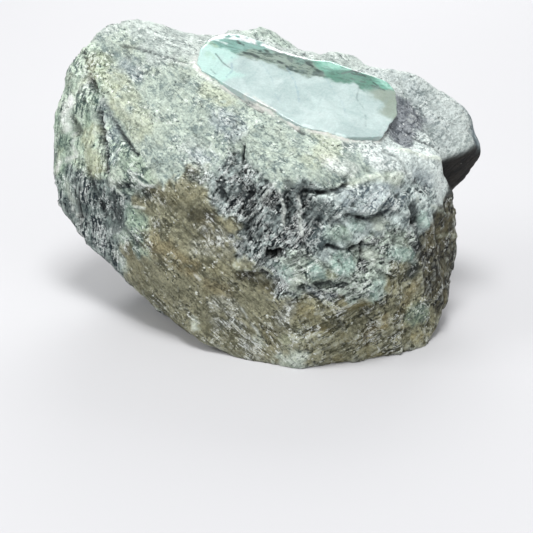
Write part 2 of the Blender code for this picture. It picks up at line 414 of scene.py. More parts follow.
class Kind(Enum):
    """What a mark on the rock looks like: painted shade in cracks, crevices, grooves and hollows, with some
    dark patches of rock; softer painted shade; white lines and patches, flecks, pale, yellowish and green
    patches, green crystals, bluish mica, ochre stains, and dark olive rock with painted shadow under a ledge."""

    # Painted shade: dark paint for the shade in cracks, crevices, grooves and cavities; a few of these marks
    # are dark rock.
    SHADE = Stain((58, 66, 68), (24, 28, 30), -0.6)
    # Painted shade, softer: dark paint for the shade in gaps, seams and notches and under ledges.
    SOFT_SHADE = Stain((92, 102, 100), (34, 41, 43), 0.0)
    WHITE = Stain((240, 245, 239), (196, 205, 196), 0.3)
    SNOW = Stain((244, 248, 242), (222, 230, 220), 0.3)
    FLECKS = Stain((216, 222, 220), (110, 116, 112), 0.45, 0.2)
    PALE = Stain((216, 225, 210), (170, 182, 168), 0.2)
    YELLOW = Stain((200, 205, 176), (150, 157, 128), 0.0, 0.8)
    MOSS = Stain((142, 166, 144), (84, 106, 96), 0.0, 0.8)
    CRYSTAL = Stain((190, 214, 203), (146, 172, 162), -0.3, 0.9)
    BLUE = Stain((168, 180, 184), (84, 97, 107), 0.3, 0.8)
    OCHRE = Stain((162, 148, 106), (108, 96, 68), 0.0, 0.6)
    # Dark olive-brown rock, and painted shadow under the olive face's ledge.
    UMBER_AND_SHADOW = Stain((88, 86, 68), (56, 55, 44), -0.2)


# Kinds whose marks are broken up along their length.
BROKEN = (Kind.WHITE, Kind.FLECKS, Kind.BLUE, Kind.YELLOW, Kind.PALE, Kind.OCHRE)


@dataclass(frozen=True)
class Mark:
    """One mark on the rock: a line along its path, or a patch where the path is short for its width."""

    name: str
    kind: Kind
    width: float
    rise: float
    strength: float
    path: list[Point]


# The marks on the rock, kind by kind. Each row is a mark's name, width, rise and strength, then its path.
# Where marks overlap, the later one lies on top, so some kinds come up again.
MARK_ROWS = (
    # Painted shade in grooves, slits, crevices and hollows and under the slab; a few of these marks are dark
    # rock.
    (Kind.SHADE, (
        ("groove along the left ridge", 1.2, -1, 1, (-105, 33, 146), (-100, 21, 133), (-91, 8, 123),
         (-82, -1, 111), (-71, -17, 104)),
        ("slit in the top slope", 1, -2.2, 1, (-12, -28, 114), (-14, -33, 108)),
        ("crevice under the upper slope", 1.5, -2.4, 0.95, (21, -53, 100), (29, -50, 98), (35, -51, 99),
         (40, -49, 99), (44, -43, 99)),
        ("crevice under the slab", 1.3, -0.6, 0.95, (50, -49, 83), (54, -49, 81), (58, -46, 80),
         (63, -41, 82), (66, -40, 84)),
        ("hollow right of the slab", 3.2, -2, 0.85, (81, -34, 82), (83, -34, 74)),
        ("crevice over the crystals", 1.1, -1.6, 0.95, (32, -61, 71), (37, -61, 70), (44, -60, 67),
         (49, -56, 68), (52, -55, 70)),
        ("crevice round the large crystal", 0.9, -1.4, 0.9, (52, -55, 70), (53, -56, 65), (52, -58, 60),
         (47, -63, 57)),
        ("left dark of the middle", 4.4, -1.6, 0.8, (-11, -48, 97), (-10, -50, 89), (-9, -54, 81),
         (-6, -57, 73)),
        ("dark between the ridges", 3.4, -1.4, 0.8, (12, -51, 103), (13, -54, 92), (14, -57, 82)),
        ("right dark of the middle", 3.2, -1.6, 0.75, (20, -52, 103), (21, -54, 95), (24, -56, 87),
         (28, -57, 83)),
        ("upper dark notch", 2, -1.6, 0.9, (-24, -42, 100), (-24, -46, 92)),
        ("small cavity", 1.5, -3, 1, (1, -60, 62), (5, -59, 63), (9, -61, 67)),
        ("dark band over the foot", 1.8, -1.2, 0.8, (19, -66, 47), (26, -65, 49), (35, -66, 51),
         (43, -66, 50)),
        ("slit of the left end", 1.2, -1.4, 0.9, (-110, 4, 79), (-110, 3, 72), (-108, 1, 66), (-107, 2, 59),
         (-108, 2, 50)),
        ("long crack of the back", 1.2, -1.6, 0.8, (-84, 62, 112), (-50, 66, 92), (-20, 70, 84), (6, 71, 66)),
    )),
    # Softer painted shade in gaps, seams and notches, under the emerald and the crevice, and on the shoulder;
    # some of these marks are darker rock.
    (Kind.SOFT_SHADE, (
        ("groove down the left end", 1.8, -1.6, 0.9, (-99, 17, 130), (-94, 7, 119), (-93, 4, 111),
         (-90, -5, 101), (-90, -11, 90)),
        ("lower slit in the top slope", 0.8, -0.8, 0.9, (-20, -34, 109), (-15, -41, 104)),
        ("ledge under the crest", 0.8, -0.8, 0.8, (-83, 28, 151), (-69, 23, 150), (-60, 20, 148),
         (-46, 17, 145)),
        ("gap under the emerald", 1.3, -1.5, 0.9, (-22, 6, 137), (-15, 0, 132), (-10, -3, 129),
         (-3, -8, 127)),
        ("gap under the middle of the face", 1.1, -1, 0.8, (15, -16, 121), (20, -20, 119)),
        ("dark seam of the right edge", 3.6, -1.4, 0.8, (85, -34, 72), (86, -37, 64), (83, -39, 56),
         (82, -41, 44)),
        ("dark under the crevice", 4, -0.8, 0.8, (28, -55, 92), (34, -55, 88)),
        ("dark oval", 5.4, -0.6, 0.85, (-84, -17, 75), (-84, -16, 62)),
        ("blue spot over the olive face", 3.2, -0.4, 0.75, (-40, -37, 100), (-36, -38, 99)),
        ("seam behind the shoulder", 1, -1, 0.8, (82, 1, 109), (88, -2, 108), (95, -3, 103), (99, 8, 95)),
        ("seam down the shoulder", 0.9, -0.9, 0.55, (64, -20, 110), (71, -22, 106), (76, -27, 101),
         (80, -28, 94), (85, -28, 89)),
        ("seam over the shoulder", 0.7, -0.7, 0.7, (73, 1, 111), (75, -11, 109), (79, -15, 107)),
        ("shade on the shoulder", 3.4, -0.8, 0.5, (83, -25, 93), (88, -22, 91)),
    )),
    (Kind.WHITE, (
        ("white line of the left end", 1, 0.5, 0.9, (-92, 6, 118), (-91, 2, 111), (-90, -2, 106)),
        ("pale line under the crest", 0.9, 0.4, 0.8, (-53, 17, 147), (-45, 15, 144)),
        ("white lip of the cavity", 0.8, 0.5, 0.9, (2, -60, 64), (6, -60, 66), (9, -60, 69)),
        ("left ridge of the middle", 1, 1.8, 0.85, (5, -46, 103), (7, -51, 98), (10, -54, 90), (10, -56, 80)),
        ("right ridge of the middle", 1, 1.8, 0.9, (17, -48, 105), (18, -54, 94), (19, -57, 80),
         (21, -59, 66)),
        ("slanting ridge", 0.9, 1, 0.75, (-4, -51, 90), (0, -50, 95), (4, -48, 101)),
        ("white streak beside the slit", 1, 0.4, 0.8, (-113, 5, 62), (-109, 3, 56), (-107, 1, 53)),
        ("rim left of the prow", 0.8, 1, 0.8, (-87, -14, 84), (-83, -18, 82), (-77, -22, 78), (-73, -24, 76),
         (-66, -27, 76)),
        ("rim of the prow", 0.9, 1, 0.8, (-73, -22, 94), (-69, -24, 91), (-65, -26, 89), (-55, -34, 91)),
        ("white spot of the olive face", 1.3, 0.4, 0.9, (-37, -50, 47), (-36, -51, 46)),
    )),
    (Kind.CRYSTAL, (
        ("large crystal", 5.6, 1.8, 1, (40, -62, 62), (45, -63, 61)),
        ("crystal beside it", 3.4, 1.2, 0.9, (27, -63, 58), (29, -64, 57)),
        ("crystals at the right", 3.6, 1.2, 0.85, (70, -49, 61), (74, -44, 60), (81, -41, 56)),
        ("low crystal", 4.4, 1.2, 0.85, (59, -60, 46), (63, -57, 46)),
        ("left crystal", 3.6, 1, 0.85, (10, -64, 58), (12, -66, 53)),
        ("small low crystal", 2, 0.8, 0.8, (59, -62, 41), (61, -59, 40)),
        ("green lump of the right edge", 3, 0.8, 0.75, (87, -30, 77), (88, -31, 72)),
        ("crystal of the right edge", 2.2, 0.8, 0.7, (87, -31, 74), (89, -29, 72)),
    )),
    (Kind.PALE, (
        ("pale crystal", 3.6, 1.4, 1, (56, -55, 63), (59, -55, 62)),
        ("corner crystal", 3.2, 1.4, 1, (16, -66, 50), (19, -65, 53)),
        ("pale lump at the foot", 7, 1.2, 0.85, (12, -67, 5), (18, -69, 6)),
        ("pale corner", 4.2, 0.6, 0.9, (-85, -16, 87), (-82, -16, 92)),
        ("grey tail", 4, 0, 0.5, (-84, -17, 40), (-79, -20, 37)),
        ("pale spot of the foot", 2.6, 0.4, 0.7, (-38, -49, 19), (-38, -50, 15)),
        ("pale edge of the shoulder", 1.4, 1.6, 0.9, (72, -17, 109), (80, -15, 107), (88, -13, 105),
         (97, -8, 100)),
        ("edge of the right block", 1, 0.7, 0.7, (81, -30, 88), (85, -31, 84), (92, -22, 78), (101, -8, 68)),
    )),
    (Kind.FLECKS, (
        ("grey flecks of the olive face", 4.4, -0.4, 0.9, (-37, -47, 62), (-27, -51, 64), (-15, -56, 68)),
        ("scratches of the olive face", 5, 0, 1.1, (-26, -54, 32), (-21, -56, 35), (-16, -57, 28),
         (-14, -58, 22)),
        ("low scratches", 3.6, 0, 1.2, (-25, -54, 20), (-13, -58, 21)),
        ("flecks of the foot", 4.4, 0, 1.2, (-9, -60, 12), (-5, -61, 7)),
        ("white patch of the slope", 7, 0, 1.2, (-42, -25, 111), (-33, -30, 107)),
        ("white spots of the foot", 4, 0, 1.2, (10, -67, 31), (15, -67, 38)),
        ("white band of the back", 4, 0, 1, (-70, 64, 60), (-30, 68, 46), (10, 68, 40)),
    )),
    (Kind.BLUE, (
        ("blue hollow", 2.2, -1.2, 0.7, (25, -66, 46), (31, -66, 43), (40, -67, 43)),
        ("bluish slab", 8, 0.8, 0.75, (47, -52, 95), (57, -47, 95), (68, -38, 91)),
        ("blue flecks of the slope", 4, -0.3, 0.7, (-38, -29, 109), (-29, -31, 107)),
        ("blue patch of the slope", 7, -0.5, 0.8, (-25, -16, 125), (-18, -22, 121)),
        ("upper blue flecks", 5, -0.4, 0.75, (-80, 20, 143), (-73, 15, 139)),
        ("purple face of the shoulder", 4, -1, 0.7, (82, -23, 97), (89, -20, 92)),
        ("gentle foot of the horn", 4, 2.4, 0.3, (79, 36, 130), (87, 27, 119), (92, 22, 113), (97, 18, 108),
         (99, 15, 103)),
    )),
    (Kind.YELLOW, (
        ("yellow crystal", 2.4, 1, 0.8, (34, -64, 57), (35, -64, 57)),
        ("pale ledge at the right", 1.2, 1, 0.4, (98, -14, 55), (104, -6, 53), (110, 0, 50)),
        ("pale patch over the foot", 4, 0.4, 0.75, (13, -67, 18), (18, -69, 21)),
        ("yellow of the left end", 8, 0.6, 0.85, (-99, 5, 105), (-100, 1, 98), (-97, -3, 91)),
        ("ledge of the olive face", 1, 1.2, 0.8, (-16, -56, 58), (-12, -58, 55), (-6, -59, 56), (0, -61, 56),
         (4, -63, 54)),
        ("yellow of the slope", 9, 0, 0.6, (-95, 24, 140), (-83, 8, 129), (-70, -8, 117)),
        ("yellow by the emerald", 6, 0, 0.6, (-33, 2, 135), (-24, -3, 131)),
    )),
    (Kind.MOSS, (
        ("green lump at the right foot", 5.6, 1.2, 0.75, (83, -45, 21), (90, -38, 20)),
        ("lower green of the left end", 5.4, 0, 0.75, (-119, 15, 80), (-116, 11, 73)),
        ("pale green beside the olive face", 4.6, 0.4, 0.55, (-75, -24, 71), (-69, -28, 67), (-68, -32, 60)),
        ("olive of the knob", 6, 0, 0.5, (-12, 54, 155), (3, 52, 152), (10, 50, 148)),
    )),
    # Softer painted shade in the notch and hollow of the prow, under the pale green and beside the knob.
    (Kind.SOFT_SHADE, (
        ("dark notch of the prow", 1.8, -1.2, 0.85, (-82, -18, 85), (-78, -21, 87)),
        ("dark under the pale green", 3, -0.8, 0.8, (-77, -23, 60), (-72, -29, 56)),
        ("shade beside the knob", 1.8, -0.6, 0.7, (12, 49, 149), (17, 46, 145)),
        ("dark of the prow", 3.2, -0.8, 0.75, (-76, -22, 87), (-70, -25, 86), (-65, -28, 84)),
    )),
    (Kind.PALE, (
        ("pale edge over the slab", 3.6, 0.8, 0.85, (46, -42, 101), (61, -37, 102), (72, -32, 98)),
        ("upper crystal", 3.6, 1.2, 0.8, (60, -49, 78), (64, -45, 78)),
        ("pale top of the left end", 2.6, 0.3, 0.6, (-103, 24, 135), (-106, 19, 127)),
        ("low pale of the left end", 2.4, 0.3, 0.6, (-114, 8, 74), (-112, 5, 66)),
    )),
    (Kind.OCHRE, (
        ("ochre of the foot", 2.8, 0, 0.8, (57, -58, 15), (63, -57, 21), (67, -56, 25)),
        ("ochre at the right", 2.8, 0, 0.6, (76, -50, 26), (80, -44, 32), (85, -41, 38)),
        ("gold of the olive face", 6, 0, 0.75, (-66, -32, 60), (-54, -41, 58), (-40, -48, 50)),
        ("low gold of the olive face", 4, 0, 0.6, (-30, -53, 44), (-20, -56, 40)),
    )),
    (Kind.SNOW, (
        # The white streak of the left end is white rock; its strength above 1 paints it brighter than its own
        # colour, as painted light.
        ("white streak of the left end", 3.8, 0.8, 1.25, (-112, 21, 120), (-113, 21, 115), (-114, 20, 110),
         (-115, 18, 105)),
        ("white rim under the emerald", 1.3, 0.5, 1, (-42, 17, 145), (-41, 15, 144), (-36, 10, 141),
         (-28, 5, 138)),
        ("low white of the left end", 1.6, 0.3, 0.8, (-120, 17, 84), (-121, 17, 79)),
    )),
    # Painted shade under the slab's left, and a dark streak of the left end.
    (Kind.SHADE, (
        ("dark under the slab's left", 2.6, -1.5, 0.8, (36, -57, 84), (41, -56, 80)),
        ("dark of the left end", 1.8, -1.2, 0.75, (-101, -1, 86), (-100, -3, 80), (-96, -6, 77),
         (-93, -8, 72), (-92, -9, 64)),
    )),
    (Kind.MOSS, (
        ("grey crystal", 4.6, 1.2, 0.7, (36, -59, 77), (42, -57, 76)),
        ("green of the left end", 6, 0, 0.7, (-121, 22, 105), (-119, 20, 94)),
        ("inner green of the left end", 3.2, -0.6, 0.8, (-112, 19, 112), (-111, 14, 98)),
    )),
    (Kind.WHITE, (
        ("white of the shoulder", 5, 0.4, 0.6, (34, -36, 109), (45, -38, 106)),
        ("white trail of the left end", 1.2, 0.4, 0.8, (-109, 15, 105), (-111, 12, 96), (-108, 8, 92),
         (-115, 14, 86)),
        ("long scratch", 0.8, 0.3, 0.6, (-12, -58, 32), (-8, -60, 26), (-3, -62, 19)),
    )),
    (Kind.FLECKS, (
        ("white trail of the foot", 3.4, 0, 1, (-97, -7, 51), (-84, -17, 56), (-82, -19, 54), (-78, -23, 49)),
        ("white crumbs of the slope", 3, 0, 1, (42, -23, 114), (51, -23, 111), (59, -28, 107),
         (65, -30, 104)),
    )),
    # The dark green of the olive face is the rock's colour; the shadow of the ledge is painted shadow.
    (Kind.UMBER_AND_SHADOW, (
        ("dark green of the olive face", 4.4, -0.6, 0.8, (-39, -43, 80), (-30, -48, 80)),
        ("shadow of the ledge", 4.2, -1, 0.8, (-11, -58, 52), (-3, -60, 51), (3, -63, 48)),
    )),
    (Kind.FLECKS, (
        ("white flecks of the olive face", 5, 0, 1, (-30, -49, 74), (-22, -53, 70)),
    )),
    (Kind.PALE, (
        ("grey spot of the foot", 2.8, 0.4, 0.6, (-2, -62, 15), (-1, -63, 13)),
    )),
    (Kind.YELLOW, (
        ("yellow before the emerald", 6, 0, 0.5, (30, -18, 119), (34, -28, 114), (24, -37, 110)),
    )),
    (Kind.CRYSTAL, (
        ("crystal of the middle", 2.6, 1, 0.7, (47, -53, 80), (50, -53, 79)),
    )),
    (Kind.BLUE, (
        ("grey of the left ridge", 4.5, -0.3, 0.65, (-92, 9, 125), (-89, 4, 116), (-86, -4, 106),
         (-86, -10, 99)),
    )),
    (Kind.MOSS, (
        ("green stripe of the left end", 2.6, -0.4, 0.75, (-95, 16, 132), (-98, 10, 122), (-101, 9, 110)),
    )),
    # Painted shade in the second crack of the left end.
    (Kind.SHADE, (
        ("second crack of the left end", 0.9, -0.8, 0.85, (-95, 8, 120), (-93, 4, 113), (-90, -6, 101),
         (-88, -11, 92)),
    )),
)
MARKS = tuple(Mark(name, kind, *row[:3], row[3:]) for kind, rows in MARK_ROWS for name, *row in rows)

# Places that belong to each zone, in millimetres. A point of the surface takes the zone of the nearest.
PLACES = {
    Zone.TOP: (
        (-90, 30, 151), (-77, 15, 138), (-57, 3, 134), (-67, -7, 120), (-42, -14, 120), (-28, -27, 111),
        (-53, -26, 104), (-9, -25, 119), (7, -43, 110), (23, -31, 114), (37, -39, 106), (56, -33, 104),
    ),
    Zone.SHOULDER: (
        (76, -14, 108), (85, -8, 106), (94, -8, 103), (84, -1, 109), (97, -8, 97), (90, -18, 95),
        (97, -9, 89), (82, -20, 102), (62, -30, 106),
    ),
    Zone.CREST: ((-90, 40, 158), (-67, 36, 157), (-50, 36, 153), (0, 52, 150), (44, 48, 142), (-30, 60, 148)),
    Zone.HORN: (
        (84, 38, 133), (101, 34, 122), (93, 27, 118), (115, 27, 111), (104, 10, 99), (100, 40, 125),
        (110, 13, 100), (114, 20, 104), (98, 14, 106), (74, 38, 134), (80, 27, 128), (93, 10, 111),
    ),
    Zone.SHADED_HOLLOW: ((78, 14, 121), (76, 4, 116), (84, 13, 116), (74, -1, 113)),
    Zone.FLANK: ((120, 30, 108), (121, 24, 101), (124, 26, 96), (118, 36, 110)),
    Zone.LEFT: (
        (-110, 25, 131), (-113, 22, 117), (-118, 18, 97), (-103, 12, 118), (-97, 2, 104), (-87, -11, 95),
        (-103, 1, 86), (-112, 12, 84),
    ),
    Zone.TAIL: (
        (-120, 15, 74), (-113, 6, 62), (-107, 2, 51), (-98, -5, 61), (-91, -11, 51), (-101, -3, 44),
        (-89, -13, 44), (-94, -8, 76), (-109, 3, 74), (-87, -14, 66), (-81, -20, 76),
    ),
    Zone.PALE: (
        (-76, -25, 64), (-68, -30, 63), (-75, -21, 90), (-84, -15, 91), (-26, 68, 112), (-10, 70, 100),
        (70, 60, 104),
    ),
    Zone.OLIVE: (
        (-64, -28, 81), (-49, -38, 86), (-35, -46, 80), (-24, -53, 70), (-64, -33, 65), (-46, -44, 65),
        (-30, -52, 57), (-58, -39, 47), (-38, -49, 37), (-13, -58, 45), (3, -63, 39), (-18, -56, 22),
        (1, -63, 17), (12, -67, 10), (-70, -27, 37), (-47, -44, 24), (-96, 56, 66), (-86, 60, 54),
        (84, 58, 76),
    ),
    Zone.DARK: (
        (-22, -47, 94), (-12, -52, 85), (-4, -55, 80), (0, -52, 90), (-8, -49, 94), (10, -55, 86),
        (16, -60, 76), (3, -59, 67), (6, -64, 56), (20, -56, 92), (44, 66, 66), (34, 68, 50), (-64, 64, 84),
        (-52, 66, 74),
    ),
    Zone.FRONT: (
        (34, -54, 92), (46, -50, 95), (58, -45, 97), (51, -52, 80), (35, -58, 77), (70, -36, 90),
        (87, -25, 88), (80, -34, 76),
    ),
    Zone.GREEN: (
        (41, -63, 61), (27, -63, 60), (57, -55, 64), (62, -58, 50), (22, -64, 55), (35, -65, 53),
        (49, -65, 50), (72, -44, 62),
    ),
    Zone.BROWN: (
        (19, -67, 38), (36, -67, 34), (53, -61, 30), (72, -51, 34), (31, -69, 21), (48, -63, 15),
        (70, -55, 14), (88, -42, 10), (76, -45, 46), (17, -68, 12), (40, -50, 0), (74, 58, 26), (30, 66, 18),
        (-34, 62, 16),
    ),
    Zone.SIDE: (
        (99, -12, 59), (107, -6, 43), (100, -18, 36), (107, -2, 64), (92, -28, 54), (104, -14, 25),
        (110, 8, 40), (100, 10, 20),
    ),
    Zone.SHADED_UNDERSIDE: (
        (109, 15, 88), (114, 26, 74), (118, 24, 82), (112, 34, 66), (107, 12, 91), (112, 16, 92),
        (117, 19, 93), (121, 24, 90), (120, 24, 86), (106, 8, 86),
    ),
    Zone.BACK: (
        (90, 50, 60), (60, 60, 90), (10, 70, 90), (-40, 68, 100), (-90, 62, 110), (-100, 50, 80),
        (-60, 60, 50), (0, 66, 40), (50, 56, 20), (-80, 30, 40), (-50, 20, 8), (20, 0, 0), (60, 20, 0),
    ),
}


@dataclass
class RockShape:
    """The shape of the broken block, as the distance of its surface from its heart in any direction."""

    heart: Point = (2, 1, 76)
    foot_depth: float = -10
    edge_sharpness: float = 90
    crease_width: float = 5.0
    lump_core: float = 20
    chip_count: int = 130
    chip_depth: tuple[float, float] = (0.4, 2.0)
    chip_deepest: float = 3.5
    chip_tilt: float = 0.07
    chip_curve: tuple[float, float] = (30, 110)
    chip_seed: int = 7
    layer_normal: Point = (0.35, 0.93, 0.10)
    layer_spacing: float = 19
    layer_step: float = 1.8
    layer_rise_share: float = 0.8
    layer_bend: float = 9
    layer_bend_cell: float = 60
    top_slope_share: float = 0.2
    swells: tuple[tuple[float, float], ...] = ((42, 2.0), (15, 1.2))
    noise_seed: int = 11
    feet: tuple[tuple[float, float], ...] = (
        (17, -71), (49, -60), (86, -47), (92, 21), (68, 51), (-34, 55), (-62, 25), (-44, -15),
    )
    corners: tuple[Point, ...] = (
        (98, -35, 4), (-18, -54, 4), (-39, -50, 9), (-54, -36, 14), (-81, -15, 28), (-103, -2, 40),
        (-116, 8, 52), (-124, 15, 64), (-126, 21, 80), (-123, 27, 112), (-116, 31, 135), (-110, 34, 149),
        (-95, 41, 164), (-80, 43, 165), (-59, 43, 161), (70, 43, 135), (-85, -19, 89), (-48, -37, 97),
        (-32, -43, 97), (-11, -57, 73), (9, -67, 50), (-45, 14, 140), (-29, 2, 136), (-4, -10, 127),
        (19, -21, 119), (48, -27, 112), (71, -19, 109), (18, -55, 102), (37, -53, 100), (97, -11, 101),
        (103, -3, 93), (112, 1, 49), (113, -1, 27), (105, -7, 10), (88, -35, 72), (86, -43, 29),
        (46, -69, 49), (94, 55, 58), (12, 71, 62), (-76, 67, 70), (-110, 49, 84), (-92, 63, 132),
        (-18, 59, 148), (60, 57, 130),
    )
    lumps: dict[str, tuple[Point, ...]] = field(default_factory=lambda: {
        "horn": (
            (70, 43, 136), (87, 40, 132), (101, 35, 122), (115, 31, 114), (118, 34, 112), (118, 16, 99),
            (125, 28, 93), (124, 26, 89), (114, 31, 61), (103, 7, 95), (104, 53, 100), (92, 57, 70),
            (100, 30, 42),
        ),
        "knob behind the emerald": (
            (-24, 54, 155), (-12, 55, 155), (-2, 55, 156), (3, 53, 152), (10, 51, 148), (-6, 64, 146),
            (-34, 64, 136), (26, 66, 128),
        ),
        "knob on the crest": (
            (32, 46, 143), (44, 48, 145), (48, 48, 143), (54, 46, 137), (66, 56, 126), (38, 60, 130),
        ),
        "slab on the front": (
            (41, -49, 102), (46, -57, 89), (59, -55, 87), (68, -43, 94), (61, -35, 103),
        ),
    })
    marks: dict[str, tuple[Point, Point, float, float]] = field(default_factory=lambda: {
        "crevice under the top slab": ((28, -52, 98), (47, -45, 102), 4, -4),
        "crevice under the front slab": ((46, -55, 86), (65, -43, 83), 4, -4),
        "left groove of the front": ((5, -45, 102), (9, -54, 81), 4, -3),
        "right groove of the front": ((17, -51, 94), (22, -62, 65), 4, -3),
        "small cavity": ((4, -60, 64), (6, -61, 63), 3.5, -4),
        "dip of the crest": ((-52, 43, 160), (-40, 44, 157), 9, -4),
        "slit in the top slope": ((-14, -28, 114), (-13, -35, 109), 3, -4),
        "hollow beside the emerald": ((77, 14, 124), (80, -6, 111), 8, -5),
        "notch under the horn": ((105, 8, 92), (111, 26, 64), 9, -5),
        "ledge of the prow": ((-18, -46, 55), (-7, -53, 52), 4, 2),
        "ledge of the lower prow": ((-7, -53, 52), (8, -61, 48), 4, 2),
        "groove beside the left ridge": ((-91, 11, 122), (-78, -8, 108), 5, -1.2),
        "left rim of the prow": ((-53, -29, 89), (-40, -32, 94), 5, 2),
        "rim of the prow": ((-40, -32, 94), (-24, -40, 85), 5, 2.5),
        "lower rim of the prow": ((-24, -40, 85), (-10, -50, 71), 5, 2.5),
        "hollow beside the prow": ((-16, -46, 86), (-2, -53, 76), 6, -3),
        "bulge below the prow": ((-52, -34, 62), (-30, -44, 50), 18, 3),
        "step of the left end": ((-100, -2, 87), (-88, -12, 64), 6, -2.5),
        "groove down the left end": ((-113, 24, 120), (-110, 14, 106), 5, -2.5),
        "step above the right foot": ((73, -45, 68), (88, -31, 77), 5, -2.5),
        "hollow of the right end": ((96, -15, 60), (105, -11, 27), 8, -3),
        "hollow of the lower front": ((26, -59, 9), (53, -63, 28), 6, -2),
        "hollow of the back": ((-40, 66, 90), (10, 70, 80), 15, -5),
        "seam down the back": ((40, 64, 120), (55, 62, 20), 6, -4),
        "hollow under the tail": ((-95, 50, 70), (-70, 45, 40), 12, -5),
    })

    def body_points(self) -> Array:
        """All corners of the main block, from the heart."""
        feet = [(x, y, self.foot_depth) for x, y in self.feet]
        return np.array(feet + list(self.corners), float) - self.heart

    def chipped(self, directions: Array, reach: Array) -> Array:
        """Cuts shallow hollows into the block. Each is a slightly tilted plane laid in below a random
        spot, rising with the square of the distance from that spot over twice its radius of curvature.

        Args:
            directions: unit vectors from the heart.
            reach: the uncut surface's distance along each.

        Returns:
            The cut surface's distance along each.
        """
        rng = np.random.default_rng(self.chip_seed)
        normals, distances = hull_planes(self.body_points())
        spots = unit(rng.normal(size=(self.chip_count, 3)))
        deepest = reach - self.chip_deepest
        for spot in spots:
            travel = distances / np.clip(normals @ spot, LEAST_FACING, None)
            nearest = np.argmin(travel)
            tilted = unit(normals[nearest] + rng.normal(scale=self.chip_tilt, size=3))
            height = travel[nearest] * (spot @ tilted) - rng.uniform(*self.chip_depth)
            away = np.linalg.norm(directions - spot, axis=1) * travel[nearest]
            plane = height / np.clip(directions @ tilted, LEAST_FACING, None)
            reach = np.minimum(reach, plane + away**2 / (2 * rng.uniform(*self.chip_curve)))
        return np.maximum(reach, deepest)

    def base_reach(self, directions: Array) -> Array:
        """The surface without its marks and swells: the greatest of the block's reach and the lumps',
        with each crease filled by the square of the overlap over four times its width.

        Args:
            directions: unit vectors from the heart.

        Returns:
            The surface's distance along each, in millimetres.
        """
        reach = plane_reach(directions, self.body_points(), self.edge_sharpness)
        reach = self.chipped(directions, reach)
        core = self.lump_core * (2 * np.array(list(np.ndindex(2, 2, 2))) - 1)
        for corners in self.lumps.values():
            points = np.concatenate([np.array(corners, float) - self.heart, core])
            lump = plane_reach(directions, points, self.edge_sharpness)
            overlap = np.clip(self.crease_width - np.abs(reach - lump), 0, None)
            reach = np.maximum(reach, lump) + overlap**2 / (4 * self.crease_width)
        return reach

    def ledges(self, points: Array, directions: Array, spacing: float, step: float) -> Array:
        """Height of the ledges where the surface cuts the layers, which a slow noise bends: a slow rise
        over each layer and a quick drop to the next, weaker by the square of how far the surface looks up.

        Args:
            points: points of the surface.
            directions: the same points' directions from the heart.
            spacing: the layers' thickness.
            step: the ledges' height.

        Returns:
            The height at each point.
        """
        bend = noise(points, self.layer_bend_cell, self.noise_seed)
        across = points @ np.array(self.layer_normal) + self.layer_bend * bend
        share = across / spacing % 1
        rise = self.layer_rise_share
        profile = np.minimum(share / rise, (1 - share) / (1 - rise)) - 0.5
        upward = np.clip(directions[:, 2], 0, 1)
        return step * profile * np.clip(1 - upward**2, self.top_slope_share, 1)

    def reach(self, directions: Array) -> Array:
        """The surface with all its larger features: the base, each mark as its height times a bell curve
        of the distance from its line, the swells and the ledges.

        Args:
            directions: unit vectors from the heart.

        Returns:
            The surface's distance along each, in millimetres.
        """
        reach = self.base_reach(directions)
        points = np.array(self.heart) + directions * reach[:, None]
        for *line, fade, rise in self.marks.values():
            reach = reach + rise * np.exp(-((path_distance(points, line) / fade) ** 2))
        for seed, (cell, height) in enumerate(self.swells, self.noise_seed + 1):
            reach = reach + height * noise(points, cell, seed)
        return reach + self.ledges(points, directions, self.layer_spacing, self.layer_step)


